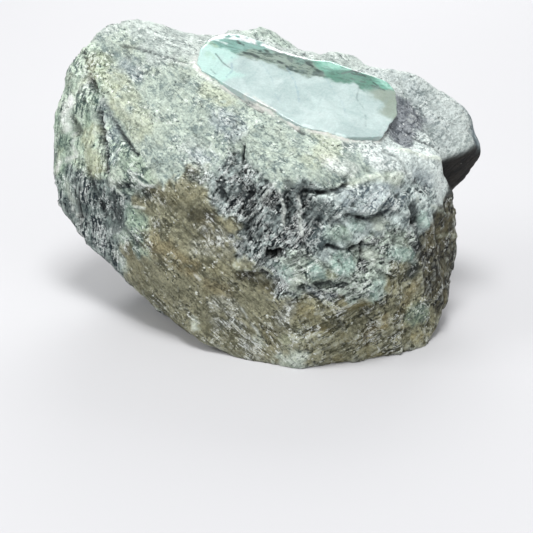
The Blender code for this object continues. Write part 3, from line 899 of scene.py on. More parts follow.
@dataclass
class FaceShape:
    """The plane that the emerald was ground to, and the outline of its polished face in that plane."""

    normal: Point = (0.152, -0.370, 0.917)
    height: float = 120.5
    outline: tuple[tuple[float, float], ...] = (
        (-40, 18), (-39, 31), (-37, 38), (-33, 43), (-25, 48), (-17, 49), (-7, 47), (6, 42), (26, 40),
        (38, 41), (50, 37), (69, 31), (73, 23), (72, 6), (64, -13), (42, -19), (19, -16), (-3, -5),
        (-26, 7), (-37, 13),
    )
    samples: int = 420
    softening: float = 0.8
    raggedness: float = 0.7
    back: tuple[float, float] = (36, 28)

    def lift(self, flat: Array) -> Array:
        """Points of the plane above places seen from above: z is the plane's height less the share of x
        and y, over the normal's z.

        Args:
            flat: x and y in each row.

        Returns:
            x, y and z in each row.
        """
        nx, ny, nz = self.normal
        z = (self.height - nx * flat[:, 0] - ny * flat[:, 1]) / nz
        return np.column_stack([flat, z])

    def curve(self) -> Array:
        """The outline as a smooth closed curve: points at equal steps along its sides, each then blended
        with its neighbours by a bell curve as wide as the softening. Noise then makes it ragged, except
        at the back.

        Returns:
            x and y of each point, anticlockwise seen from above.
        """
        corners = np.array(self.outline, float)[::-1]
        closed = np.vstack([corners, corners[:1]])
        along = np.concatenate([[0], np.cumsum(np.linalg.norm(np.diff(closed, axis=0), axis=1))])
        even = np.linspace(0, along[-1], self.samples, endpoint=False)
        points = np.column_stack([np.interp(even, along, closed[:, i]) for i in range(2)])
        step = along[-1] / self.samples
        reach = int(3 * self.softening / step)
        shares = np.exp(-((np.arange(-reach, reach + 1) * step / self.softening) ** 2) / 2)
        smooth = sum(s * np.roll(points, i - reach, axis=0) for i, s in enumerate(shares)) / shares.sum()
        flat = np.column_stack([smooth, np.zeros(len(smooth))])
        ragged = self.raggedness * noises(flat, (1, 6, 51), (0.5, 2.5, 52, MANY_CORNERS))
        ragged *= smooth_step(smooth[:, 1], *self.back)
        return smooth + ragged[:, None] * unit(smooth - smooth.mean(axis=0))

    def inset(self, flat: Array) -> Array:
        """How far places lie inside the outline: the distance to its nearest side, negative outside.

        Args:
            flat: x and y in each row.

        Returns:
            The inset of each, in millimetres.
        """
        corners = np.array(self.outline, float)
        inside = np.zeros(len(flat), bool)
        for start, end in zip(corners, np.roll(corners, -1, axis=0)):
            spans = (start[1] > flat[:, 1]) != (end[1] > flat[:, 1])
            slope = (end[0] - start[0]) / ((end[1] - start[1]) or 1)
            inside ^= spans & (flat[:, 0] < start[0] + slope * (flat[:, 1] - start[1]))
        away = path_distance(flat, [*corners, corners[0]])
        return np.where(inside, away, -away)


@dataclass
class Nodes:
    """Adds nodes to a new material and links them. A socket, a number or a colour can feed any input."""

    material: bpy.types.Material

    def feed(self, node: bpy.types.Node, inputs: dict) -> None:
        """Links a node's inputs to sockets, or sets them to values.

        Args:
            node: the node.
            inputs: a socket or a value by input name or number.
        """
        for key, value in inputs.items():
            if isinstance(value, Socket):
                self.material.node_tree.links.new(value, node.inputs[key])
            else:
                node.inputs[key].default_value = value

    def finish(self, inputs: dict) -> bpy.types.Material:
        """Feeds the material's own shader, and returns the material."""
        self.feed(self.material.node_tree.nodes["Principled BSDF"], inputs)
        return self.material

    def add(self, kind: str, inputs: dict, **settings) -> bpy.types.Node:
        """A node of a kind.

        Args:
            kind: the node's type name without its prefix.
            inputs: values or sockets by input name or number.
            settings: properties of the node itself.

        Returns:
            The node.
        """
        node = self.material.node_tree.nodes.new("ShaderNode" + kind)
        for key, value in settings.items():
            setattr(node, key, value)
        self.feed(node, inputs)
        return node

    def place(self) -> Socket:
        """Where a point of the piece is, in its own metres."""
        return self.add("TexCoord", {}).outputs["Object"]

    def math(self, operation: str, first: Value, second: Value = 0.0, clamp: bool = False) -> Socket:
        """The result of a sum on two values."""
        return self.add("Math", {0: first, 1: second}, operation=operation, use_clamp=clamp).outputs[0]

    def times(self, first: Value, second: Value, clamp: bool = False) -> Socket:
        """The product of two values."""
        return self.math("MULTIPLY", first, second, clamp)

    def total(self, start: Value, *parts: tuple[Value, Value]) -> Value:
        """The sum of values, each times its weight, and a start."""
        for value, weight in parts:
            start = self.add("Math", {0: value, 1: weight, 2: start}, operation="MULTIPLY_ADD").outputs[0]
        return start

    def off(self, value: Value, middle: float) -> Socket:
        """How far a value is from a middle, either way."""
        return self.math("ABSOLUTE", self.math("SUBTRACT", value, middle))

    def mix(self, share: Value, first: Socket, second: Socket | Colour, blend: str = "MIX") -> Socket:
        """Two colours blended by a share. The second may be a colour as on a screen."""
        over = second if isinstance(second, Socket) else (*linear(second), 1)
        return self.add("Mix", {0: share, 6: first, 7: over}, data_type="RGBA", blend_type=blend).outputs[2]

    def ramp(self, value: Value, low: float, high: float, start: float = 0.0, end: float = 1.0) -> Socket:
        """A value mapped from low and high to start and end, kept between them."""
        sockets = {"Value": value, "From Min": low, "From Max": high, "To Min": start, "To Max": end}
        return self.add("MapRange", sockets, interpolation_type="SMOOTHSTEP").outputs[0]

    def scaled(self, colour: Socket, gain: Value) -> Socket:
        """A colour times a value."""
        grey = self.add("CombineColor", {0: gain, 1: gain, 2: gain}).outputs[0]
        return self.mix(1.0, colour, grey, "MULTIPLY")

    def painted(self, name: str) -> Socket:
        """The colour that is painted under a name."""
        return self.add("Attribute", {}, attribute_name=name).outputs["Vector"]

    def values(self, name: str) -> list[Socket]:
        """The three values that are painted under a name."""
        return list(self.add("SeparateXYZ", {0: self.painted(name)}).outputs)

    def fine(
        self, place: Socket, scale: float, detail: float = 3.0, rough: float = 0.6, warp: float = 0.0
    ) -> Socket:
        """Noise about a half, with so many grains to the metre."""
        sockets = {"Vector": place, "Scale": scale, "Detail": detail, "Roughness": rough, "Distortion": warp}
        return self.add("TexNoise", sockets).outputs[0]

    def vector(self, operation: str, *inputs: Socket | Point) -> bpy.types.Node:
        """A node that reckons with vectors."""
        return self.add("VectorMath", dict(enumerate(inputs)), operation=operation)

    def bent(self, place: Socket, scale: float, reach: float) -> Socket:
        """A place moved by smooth noise, up to half the reach each way."""
        shift = self.add("TexNoise", {"Vector": place, "Scale": scale, "Detail": 2.0}).outputs[1]
        return self.vector("MULTIPLY_ADD", shift, (reach,) * 3, place).outputs[0]

    def chips(self, place: Socket, scale: float) -> tuple[Socket, Socket]:
        """Small flat pieces. Space is split between random spots, and each spot's piece has its own tilt
        and its own value. Its height is the tilt times the offset from the spot.

        Args:
            place: where they are read.
            scale: how many there are to the metre.

        Returns:
            The height in metres, and the value from 0 to 1.
        """
        spots = self.add("TexVoronoi", {"Vector": place, "Scale": scale}).outputs
        offset = self.vector("SUBTRACT", place, spots["Position"]).outputs[0]
        tilt = self.vector("SUBTRACT", spots["Color"], (0.5,) * 3).outputs[0]
        height = self.vector("DOT_PRODUCT", offset, tilt).outputs["Value"]
        return height, self.add("SeparateColor", {0: spots["Color"]}).outputs[0]

    def stretched(self, place: Socket, along: Point, scale: float, length: float, **options) -> Socket:
        """Noise drawn out along a direction: the place is turned to put that direction on X, and X is
        then divided by the length.

        Args:
            place: where it is read.
            along: the direction.
            scale: how many grains there are to the metre across it.
            length: how many times longer than wide a grain is.
            options: the noise's detail, roughness and warp.

        Returns:
            The noise, about a half.
        """
        turn = Vector(along).to_track_quat("X", "Z").inverted().to_euler()
        turned = self.add("VectorRotate", {"Vector": place, "Rotation": turn}, rotation_type="EULER_XYZ")
        squeezed = self.vector("MULTIPLY", turned.outputs[0], (1 / length, 1, 1))
        return self.fine(squeezed.outputs[0], scale, **options)


def new_nodes(name: str) -> Nodes:
    """A new material, held by what adds nodes to it."""
    material = bpy.data.materials.new(name)
    material.use_nodes = True
    return Nodes(material)


@dataclass(frozen=True)
class SchistFinish:
    """The look of the schist: mottled, streaked along its grain, laced with white threads and dark cracks,
    broken into small flat chips, flecked with mica, and darkened in its hollows by painted shade. Scales are
    counts to the metre."""

    fleck: Colour = (238, 243, 240)
    soot: Colour = (22, 27, 29)
    ochre: Colour = (164, 150, 98)
    edge: Colour = (222, 230, 223)
    crust: Colour = (208, 208, 202)
    roughness: float = 0.65
    shine: float = 0.25
    bump_unit: float = 0.001
    # How dark the painted shade in the deepest hollows gets, as a share of the colour.
    darkest_painted_shade: float = 0.22
    band_scale: float = 140
    band_length: float = 5
    streak_scale: float = 560
    streak_length: float = 7
    cloud_scale: float = 55
    chip_scale: float = 230
    crumb_scale: float = 600
    dust_scale: float = 1250

    def streaked(
        self, nodes: Nodes, place: Socket, shares: list[Socket], scale: float, length: float, **options
    ) -> Socket:
        """Noise drawn out along every grain, each weighed by its share of the surface.

        Args:
            nodes: what adds the nodes.
            place: where it is read.
            shares: each grain's share.
            scale: how many streaks there are to the metre.
            length: how many times longer than wide they are.
            options: the noise's detail, roughness and warp.

        Returns:
            The noise.
        """
        layers = [
            nodes.times(nodes.stretched(place, grain.value, scale, length, **options), share)
            for grain, share in zip(Grain, shares)
        ]
        total = layers[0]
        for layer in layers[1:]:
            total = nodes.math("ADD", total, layer)
        return total

    def material(self) -> bpy.types.Material:
        """Builds the material: the mottled ground, stains and cracks, white threads and flecks, soot in the
        pits, worn edges, the crust round the emerald, painted shade in the hollows, and the chips' relief as
        bump.

        Returns:
            The material.
        """
        nodes = new_nodes("schist")
        place = nodes.place()
        light, dark = nodes.painted("light"), nodes.painted("dark")
        mottle, white, ochre = nodes.values("amounts")
        rugged = nodes.values("rugged")[0]
        shares = nodes.values("grains")
        shares.append(nodes.total(1.0, *((share, -1.0) for share in shares)))
        hollow, rim, crest = nodes.values("relief")
        bands = self.streaked(
            nodes, place, shares, self.band_scale, self.band_length, detail=5.0, rough=0.62, warp=0.1)
        streaks = self.streaked(
            nodes, place, shares, self.streak_scale, self.streak_length, detail=4.0, rough=0.70)
        clouds = nodes.fine(place, self.cloud_scale, 6.0, 0.62, 0.3)
        calm = nodes.ramp(nodes.fine(place, 75, 4.0, 0.6), 0.40, 0.60)
        bent = nodes.bent(place, 110, 0.005)
        chip_height, chip = nodes.chips(bent, self.chip_scale)
        crumb_height, crumb = nodes.chips(bent, self.crumb_scale)
        dust = nodes.chips(place, self.dust_scale)[1]

        blend = nodes.total(-0.20, (clouds, 0.32), (bands, 0.30), (streaks, 0.52), (chip, 0.08),
                            (crumb, 0.12), (dust, 0.06))
        edge = nodes.total(0.40, (mottle, 0.20))
        contrast = nodes.ramp(calm, 0.0, 1.0, 0.42, 1.25)
        shade = nodes.ramp(nodes.times(nodes.math("SUBTRACT", blend, edge), contrast), 0.09, -0.09)
        colour = nodes.mix(shade, light, dark)
        stain = nodes.ramp(nodes.fine(place, 60, 5.0, 0.6, 0.8), 0.50, 0.66)
        colour = nodes.mix(nodes.times(stain, ochre), colour, self.ochre)
        colour = nodes.scaled(colour, nodes.ramp(dust, 0.0, 1.0, 0.84, 1.14))

        lines = nodes.ramp(nodes.off(bands, 0.5), 0.010, 0.002)
        where = nodes.ramp(nodes.fine(place, 50, 3.0), 0.50, 0.60)
        cracks = nodes.times(nodes.times(lines, where), mottle)
        colour = nodes.mix(nodes.times(cracks, 1.4, clamp=True), colour, self.soot)

        threads = nodes.ramp(nodes.off(streaks, 0.52), 0.034, 0.006)
        patch = nodes.total(0.22, (bands, -0.6), (crumb, 0.12), (calm, 0.10), (white, 0.22))
        lace = nodes.times(threads, nodes.ramp(patch, 0.12, 0.26))
        colour = nodes.mix(nodes.times(lace, 0.90), colour, self.fleck)
        raised = nodes.total(-0.10, (crumb, 0.5), (dust, 0.5), (calm, 0.16), (white, 0.10))
        colour = nodes.mix(nodes.times(nodes.ramp(raised, 0.88, 1.00), 0.65), colour, self.fleck)
        sunk = nodes.total(0.16, (crumb, 0.5), (dust, 0.5), (calm, -0.14), (mottle, -0.30))
        colour = nodes.mix(nodes.times(nodes.ramp(sunk, 0.08, -0.02), 0.6), colour, self.soot)

        worn = nodes.times(crest, nodes.ramp(streaks, 0.40, 0.60))
        colour = nodes.mix(nodes.times(worn, 0.30), colour, self.edge)
        colour = nodes.mix(rim, colour, self.crust)
        # Painted shade: the colour is darkened where the surface lies deep among its neighbours.
        colour = nodes.scaled(colour, nodes.ramp(hollow, 0.0, 1.0, 1.0, self.darkest_painted_shade))

        rough = nodes.ramp(rugged, 0.1, 0.8, 0.35, 1.0)
        broken = nodes.times(nodes.total(0.0, (chip_height, 900.0), (crumb_height, 450.0)), rough)
        height = nodes.total(0.0, (broken, 1.0), (streaks, 1.4), (bands, 1.0), (cracks, -0.8))
        bump = nodes.add("Bump", {"Strength": 1.0, "Distance": self.bump_unit, "Height": height})
        return nodes.finish({
            "Base Color": colour, "Roughness": self.roughness, "Specular IOR Level": self.shine,
            "Normal": bump.outputs[0],
        })


def report_missed(name: str, share: Array) -> None:
    """Warns where a mark lies on no point of its piece."""
    if not share.any():
        LOG.warning("the %s lies off the surface", name)


def blend(shares: dict[Zone, Array], read: Callable[[Tone], tuple | float]) -> Array:
    """A feature of the zones at each point: the sum of each zone's own times its share.

    Args:
        shares: how much each point belongs to each zone.
        read: gives the feature of a zone's tone.

    Returns:
        A number, or a row of numbers, for each point.
    """
    return sum(np.multiply.outer(share, read(zone.value)) for zone, share in shares.items())


@dataclass
class MatrixBlock:
    """The schist block: the rock's shape with fine relief, coloured zone by zone."""

    shape: RockShape = field(default_factory=RockShape)
    face: FaceShape = field(default_factory=FaceShape)
    finish: SchistFinish = field(default_factory=SchistFinish)
    cells: int = 127
    zone_edge: float = 1.3
    zone_wander: float = 7.0
    horn_wander: float = 0.15
    horn_starts: tuple[float, float] = (92, 74)
    bend: float = 2.5
    slabs: tuple[tuple, ...] = ((4.2, 22, 80), (2.2, 12, 81))
    splinters: tuple[float, float, int] = (1.9, 5.5, 82)
    crumbs: tuple[float, float, int] = (0.9, 2.8, 83)
    calm_crumbs: float = 0.2
    comb: float = 2.8
    thin_layer: tuple[float, float] = (5.5, 1.0)
    mark_wander: tuple[float, float] = (0.5, 1.6)
    mark_fade: tuple[float, float, float] = (0.2, 0.5, 2.5)
    gaps: tuple[float, float] = (-0.9, -0.2)
    # Painted shade in the hollows: the depths over which it comes in, how many rounds of averaging find the
    # depth, and how much less of it the horn and the shaded hollow get.
    painted_shade_depths: tuple[float, float] = (0.2, 2.4)
    painted_shade_rounds: int = 12
    horn_painted_shade_cut: float = 0.85
    crest_heights: tuple[float, float] = (0.06, 0.45)
    crest_rounds: int = 3
    crust_middle: float = -1.2
    crust_width: float = 1.6
    crust_front: tuple[float, float] = (34, 10)
    seat_depth: float = 5.0
    seat_top: float = 0.8
    seat_slope: float = 4.0
    seat_facing: float = 0.2

    def zone_shares(self, points: Array) -> dict[Zone, Array]:
        """How much each point belongs to each zone. The points wander by noise first, so that the edges
        are ragged, but little at the right end, where planes meet crisply.

        Args:
            points: points of the surface.

        Returns:
            A share from 0 to 1 for each point, by zone.
        """
        steps = wander(points, (61, 62, 63), (1, 16, 0), (0.6, 6, 3), (0.35, 2.6, 6))
        calm = np.minimum(smooth_step(points[:, 0], *self.horn_starts) + self.horn_wander, 1)
        moved = points + calm[:, None] * self.zone_wander * steps
        return nearest_shares(moved, PLACES, self.zone_edge)

    def fine_relief(self, points: Array, directions: Array, rugged: Array, grains: Array) -> Array:
        """Height of the small broken pieces, ledges and grains: shards of four sizes and thin ledges,
        more of them where the rock is rugged, and a little noise everywhere. The two finer sizes of
        shards are drawn out along each grain: the place along it is divided by the comb's length. Each
        size of shard is a height, a width and a seed.

        Args:
            points: points of the surface.
            directions: the same points' directions from the heart.
            rugged: how rugged each point is, from 0 to 1.
            grains: how much each point follows each grain.

        Returns:
            The height at each point, in millimetres.
        """
        bent = points + self.bend * wander(points, (71, 72, 73), (1, 9, 0))
        height = rugged * sum(tall * shards(bent, *rest) for tall, *rest in self.slabs)
        anywhere = self.calm_crumbs + (1 - self.calm_crumbs) * rugged
        for grain, share in zip(Grain, grains.T):
            along = unit(np.array(grain.value))
            combed = bent - (1 - 1 / self.comb) * np.outer(bent @ along, along)
            fine = zip((self.splinters, self.crumbs), (rugged, anywhere))
            height += share * sum(much * tall * shards(combed, *rest) for (tall, *rest), much in fine)
        height += rugged * self.shape.ledges(bent, directions, *self.thin_layer)
        return height + noises(points, (0.30, 5, 84), (0.12, 2.4, 85, MANY_CORNERS))

    def marked(self, points: Array) -> list[Array]:
        """How strongly each mark lies on each point: its strength, fading out at its width from its path,
        after noise has moved the points a little so that its edges are ragged.

        Args:
            points: points of the surface.

        Returns:
            A share for each point, by mark.
        """
        steps = wander(points, (101, 102, 103), (1, 5, 0), (0.6, 2.2, 3, MANY_CORNERS))
        gaps = smooth_step(noises(points, (1, 4, 104), (0.6, 1.8, 105, MANY_CORNERS)), *self.gaps)
        by_width, most = self.mark_wander
        least_fade, fade_by_width, most_fade = self.mark_fade
        shares = []
        for mark in MARKS:
            away = path_distance(points + steps * min(most, by_width * mark.width), mark.path)
            fade = min(fade_by_width * mark.width + least_fade, most_fade)
            share = mark.strength * smooth_step(away, mark.width + fade, mark.width - fade)
            shares.append(share * gaps if mark.kind in BROKEN else share)
            report_missed(mark.name, share)
        return shares

    def seated(self, reach: Array, directions: Array) -> tuple[Array, Array]:
        """Lowers the rock under the emerald. Where a ray meets the ground plane inside the outline, the
        rock stays below that plane by the inset times a slope, down to the seat's depth.

        Args:
            reach: the surface's distance along each direction.
            directions: unit vectors from the heart.

        Returns:
            The lowered distance, and how far inside the outline each ray passes.
        """
        normal = np.array(self.face.normal)
        heart = np.array(self.shape.heart)
        facing = directions @ normal
        plane = (self.face.height - normal @ heart) / np.clip(facing, self.seat_facing, None)
        met = heart + directions * plane[:, None]
        inset = np.where(facing > self.seat_facing, self.face.inset(met[:, :2]), -100.0)
        seat = plane - np.clip(self.seat_top + inset * self.seat_slope, self.seat_top, self.seat_depth)
        return np.where(inset > 0, np.minimum(reach, seat), reach), inset

    def build(self) -> Piece:
        """Makes the block: a point for each direction of the sphere's grid, at the rock's reach with its
        fine relief, cut off at the floor, with the zones' looks painted on.

        Returns:
            The piece.
        """
        directions, quads = sphere_grid(self.cells)
        heart = np.array(self.shape.heart)
        reach = self.shape.reach(directions)
        points = heart + directions * reach[:, None]
        shares = self.zone_shares(points)
        marks = self.marked(points)
        rugged = blend(shares, lambda tone: tone.rugged)
        grains = blend(shares, lambda tone: [tone.grain is grain for grain in Grain])
        relief = self.fine_relief(points, directions, rugged, grains)
        relief += sum(mark.rise / mark.strength * share for mark, share in zip(MARKS, marks))
        relief += blend(shares, lambda tone: tone.lift)
        reach, inset = self.seated(reach + relief, directions)
        floor = heart[2] / np.clip(-directions[:, 2], LEAST_FACING, None)
        points = heart + directions * np.minimum(reach, floor)[:, None]
        piece = make_piece("schist_block", points, quads)
        paint(piece, "rugged", np.column_stack([rugged] * 3))
        paint(piece, "grains", grains[:, :3])
        self.paint_colours(piece, shares, marks)
        self.paint_relief(piece, points, quads, inset, shares)
        return piece

    def paint_colours(self, piece: Piece, shares: dict[Zone, Array], marks: list[Array]) -> None:
        """Paints the blend of the zones' colours, flecks and stains at each point, with the marks over it.

        Args:
            piece: the block.
            shares: how much each point belongs to each zone.
            marks: how strongly each mark lies on each point.
        """
        light = blend(shares, lambda tone: linear(tone.light))
        dark = blend(shares, lambda tone: linear(tone.dark))
        amounts = blend(shares, lambda tone: (tone.mottle, tone.white, tone.ochre))
        for mark, share in zip(MARKS, marks):
            stain = mark.kind.value
            solid = stain.solid * share[:, None]
            light += solid * (linear(stain.light) - light)
            dark += solid * (linear(stain.dark) - dark)
            amounts[:, 1] += stain.white * share
        paint(piece, "light", light)
        paint(piece, "dark", dark)
        paint(piece, "amounts", amounts)

    def paint_relief(
        self, piece: Piece, points: Array, quads: Array, inset: Array, shares: dict[Zone, Array]
    ) -> None:
        """Paints how deep each point lies among its neighbours, which the shader turns into painted shade,
        the pale crust round the emerald, and how far each point stands out as an edge.

        Args:
            piece: the block.
            points: its points.
            quads: the four points of each square.
            inset: how far inside the emerald's outline each point is.
            shares: how much each point belongs to each zone.
        """
        reach = np.linalg.norm(points - self.shape.heart, axis=1)
        # Painted shade: the deeper a point lies below the average of its neighbours, the darker the shader
        # makes it.
        hollow = smooth_step(averaged(reach, quads, self.painted_shade_rounds) - reach, *self.painted_shade_depths)
        hollow *= 1 - self.horn_painted_shade_cut * (shares[Zone.HORN] + shares[Zone.SHADED_HOLLOW])
        crest = smooth_step(reach - averaged(reach, quads, self.crest_rounds), *self.crest_heights)
        crest *= 1 - shares[Zone.SHADED_UNDERSIDE]
        crust = np.exp(-((inset - self.crust_middle) / self.crust_width) ** 2)
        crust *= smooth_step(points[:, 1], *self.crust_front)
        crust *= smooth_step(noises(points, (1, 7, 91), (0.6, 2.4, 92, MANY_CORNERS)), -0.5, 0.5)
        paint(piece, "relief", np.column_stack([hollow, crust, crest]))

    def dress(self, piece: Piece) -> None:
        """Gives the block its finish."""
        piece.data.materials.append(self.finish.material())


class Vein(Enum):
    """The parts of the polished face that differ in colour, each with that colour: the bright aqua end,
    the teal band of the upper left, the milky middle, the upper band, the grey mica and the grey-green
    beside it, the green and the deep green, and the olive right end."""

    AQUA = (172, 203, 196)
    TEAL = (110, 152, 142)
    MILK = (164, 182, 180)
    BAND = (124, 160, 152)
    MICA = (124, 140, 129)
    GREY = (104, 132, 121)
    GREEN = (106, 160, 142)
    DEEP = (78, 124, 107)
    OLIVE = (134, 147, 135)


# Places on the polished face, by their x and y, that belong to each part.
VEIN_PLACES = {
    Vein.AQUA: ((-37, 20), (-31, 14), (-28, 22), (-34, 32), (-28, 30), (-23, 16), (-23, 28)),
    Vein.TEAL: ((-34, 43), (-28, 42), (-22, 42), (-30, 36.5), (-23, 37)),
    Vein.MILK: (
        (-17, 20), (-7, 12), (4, 6), (18, 8), (12, -7), (-10, 4), (29, -2), (46, 2), (60, 2), (-14, 27),
        (3, 20), (34, 12), (56, 8), (16, 19), (-3, 26), (30, 20), (48, 16),
    ),
    Vein.BAND: ((-12, 43), (-4, 43), (-12, 37), (4, 42)),
    Vein.MICA: ((-9, 33), (-2, 32), (6, 33), (12, 31), (20, 30), (7, 37), (24, 27)),
    Vein.GREY: ((14, 38), (20, 37), (18, 34)),
    Vein.GREEN: ((30, 38), (38, 35), (44, 37), (34, 32), (60, 35), (68, 28), (64, 32), (66, 26)),
    Vein.DEEP: ((46, 28), (52, 27), (38, 28.5), (58, 24), (56, 31), (48, 33)),
    Vein.OLIVE: ((67, 20), (70, 14), (70, 5)),
}


class Flaw(Enum):
    """What a mark on the polished face looks like, as its colour."""

    CRACK = (44, 58, 55)
    SMOKE = (76, 92, 87)
    BLUE = (138, 160, 168)
    PALE = (218, 232, 229)
    MOSS = (154, 180, 160)
    LEAF = (150, 198, 181)
    CRUST = (198, 198, 190)
    # Painted highlight: near-white paint for the reflection along the back edge.
    SHEEN = (232, 236, 238)


# The marks on the polished face: each one's name, look, width and strength, then its path of x and y.
FACE_MARKS = (
    ("white arc", Flaw.PALE, 0.8, 0.8, (-38, 37), (-32, 39), (-27, 38.6), (-24, 37.4)),
    ("green vein of the left lobe", Flaw.MOSS, 1.6, 0.8, (-36, 35), (-33, 35.6), (-30, 34)),
    ("stain of the left lobe", Flaw.MOSS, 2.4, 0.5, (-34, 26), (-32, 24)),
    ("crack of the left lobe", Flaw.CRACK, 0.47, 0.75, (-30, 27.5), (-26, 22), (-23, 19.5), (-21, 18)),
    ("short crack of the left lobe", Flaw.SMOKE, 0.54, 0.5, (-32, 15), (-29.5, 12)),
    ("crack between lobe and middle", Flaw.BLUE, 0.6, 0.8, (-20.5, 34), (-20.8, 26), (-20.6, 17), (-23, 11)),
    ("dark crack of the upper edge", Flaw.CRACK, 0.74, 0.94, (-16, 45), (-18, 43.5), (-18, 40.5), (-14, 39)),
    ("thin vein of the upper band", Flaw.SMOKE, 0.68, 0.75, (-12, 45), (-6, 43), (0, 41.5), (4, 41)),
    ("dark dots, left", Flaw.CRACK, 1.22, 0.88, (-13.5, 36), (-12.5, 35.5)),
    ("dark dots, right", Flaw.CRACK, 1.08, 0.88, (-5, 36), (-2.5, 37.6), (-1, 37.2)),
    ("dark dots, low", Flaw.CRACK, 0.94, 0.75, (-3, 35), (0, 35.6)),
    ("dark edge of the mica, left", Flaw.CRACK, 1.22, 1, (-13.5, 32.6), (-9, 32.2), (-6, 31.2)),
    ("dark of the mica, top", Flaw.SMOKE, 2.03, 1, (4, 39), (8, 40), (10, 39)),
    ("vein through the mica", Flaw.SMOKE, 1.22, 0.88, (0, 35), (5, 36.5), (9, 36), (13, 33)),
    ("dark edge of the mica, middle", Flaw.CRACK, 1.08, 1, (6, 30.4), (10, 28.6), (12.5, 26), (16, 25.4)),
    ("dark foot of the mica", Flaw.SMOKE, 1.89, 1, (13, 27), (18, 26), (24, 25.6), (30, 27.4)),
    ("dark vein before the green", Flaw.CRACK, 1.22, 1, (20.5, 36), (22.5, 33), (25, 31), (28.5, 28.6)),
    ("second vein before the green", Flaw.SMOKE, 0.94, 0.88, (18, 39.5), (21.5, 36), (24, 34)),
    ("pale lens of the green", Flaw.LEAF, 2.8, 0.8, (33, 34.5), (39, 35), (45, 35.5)),
    ("edge of the lens", Flaw.SMOKE, 0.68, 0.75, (42, 29.4), (46, 32), (49, 33)),
    ("dark spot of the green", Flaw.CRACK, 2.03, 1, (49.3, 33.6), (51.6, 34.4)),
    ("vein under the spot", Flaw.CRACK, 0.81, 0.88, (48, 31), (54, 31.4), (58, 29.4), (60, 27), (63, 25)),
    ("second lens", Flaw.LEAF, 1.8, 0.7, (56, 35.6), (61, 36), (65, 34)),
    ("bright right lens", Flaw.LEAF, 2.2, 0.9, (65, 29), (68, 27.6), (70, 26)),
    ("edge of the right lens", Flaw.SMOKE, 0.68, 0.88, (62, 32), (66, 31), (70.5, 28.6)),
    ("low vein of the green", Flaw.SMOKE, 0.81, 0.75, (46, 26.8), (54, 26), (60, 24), (66, 22.6)),
    ("blue vein of the middle", Flaw.BLUE, 0.8, 0.6, (11, 26), (13, 21), (15.5, 16), (17, 10), (17.5, 2)),
    ("thin vein of the middle", Flaw.BLUE, 0.5, 0.4, (-3, 26), (-1, 21), (2, 15), (3, 11)),
    ("faint vein of the middle", Flaw.BLUE, 0.6, 0.3, (4, 4), (7, -1), (9, -7)),
    ("vein of the right", Flaw.BLUE, 0.7, 0.35, (33, 24), (37, 15), (42, 7), (44, -4)),
    ("thin vein of the right", Flaw.SMOKE, 0.54, 0.38, (52, 22), (50, 12), (55, 3), (54, -8)),
    ("crust of the lower edge", Flaw.CRUST, 1.8, 0.85, (-12, -0.5), (-7, -2.6), (-2, -5), (3, -8)),
    ("pale lower right edge", Flaw.PALE, 1.2, 0.5, (20, -15), (32, -17), (42, -18)),
    # Painted highlight: near-white paint along the back edge for its bright reflection.
    ("painted highlight of the back edge, left", Flaw.SHEEN, 2, 1.2, (-30, 41.5), (-24, 43.5), (-17, 44), (-8, 42.5)),
    ("painted highlight of the back edge, middle", Flaw.SHEEN, 1.3, 1.2, (-8, 42.5), (0, 40.5), (8, 38.6), (20, 37.6)),
)


@dataclass(frozen=True)
class EmeraldFinish:
    """The look of the polished emerald: milky, a little translucent, cracked, under a bright polish.
    Scales are counts to the metre."""

    crack: Colour = (64, 80, 74)
    frost: Colour = (212, 226, 223)
    veil: Colour = (132, 150, 152)
    # Painted highlight: the colour laid along the rounded back edge of the face for the bright reflection it
    # shows.
    back_highlight: Colour = (222, 228, 230)
    roughness: float = 0.18
    translucency: float = 0.25
    glow: Point = (0.6, 1.0, 0.9)
    glow_depth: float = 0.003
    polish: float = 0.6
    polish_roughness: float = 0.04
    cloud_scale: float = 45
    veil_scale: float = 150
    streak_scale: float = 520
    grain_scale: float = 900

    def material(self) -> bpy.types.Material:
        """Builds the material: the painted colours with frost, veils and smoky cracks over them.

        Returns:
            The material.
        """
        nodes = new_nodes("emerald")
        place = nodes.place()
        mica, green, milk = nodes.values("parts")
        clouds = nodes.ramp(nodes.fine(place, self.cloud_scale, 8.0, 0.62, 0.6), 0.38, 0.66)
        frosted = nodes.times(clouds, nodes.total(0.10, (milk, 0.30)))
        colour = nodes.mix(frosted, nodes.painted("tint"), self.frost)
        veil = nodes.stretched(place, (0.5, 1.0, 0.4), self.veil_scale, 5.0, detail=8.0, rough=0.75)
        colour = nodes.mix(nodes.times(nodes.ramp(veil, 0.50, 0.70), 0.32), colour, self.veil)
        streaks = nodes.stretched(
            place, (1.0, -0.12, 0.0), self.streak_scale, 6.0, detail=7.0, rough=0.75, warp=0.3)
        amount = nodes.total(0.05, (mica, 0.75), (green, 0.35))
        colour = nodes.mix(nodes.times(nodes.ramp(streaks, 0.48, 0.60), amount), colour, self.crack)
        grain = nodes.fine(place, self.grain_scale, 3.0, 0.7)
        return nodes.finish({
            "Base Color": nodes.scaled(colour, nodes.ramp(grain, 0.3, 0.7, 0.93, 1.05)),
            "Roughness": self.roughness,
            "Subsurface Weight": self.translucency,
            "Subsurface Radius": self.glow,
            "Subsurface Scale": self.glow_depth,
            "Coat Weight": self.polish,
            "Coat Roughness": self.polish_roughness,
        })


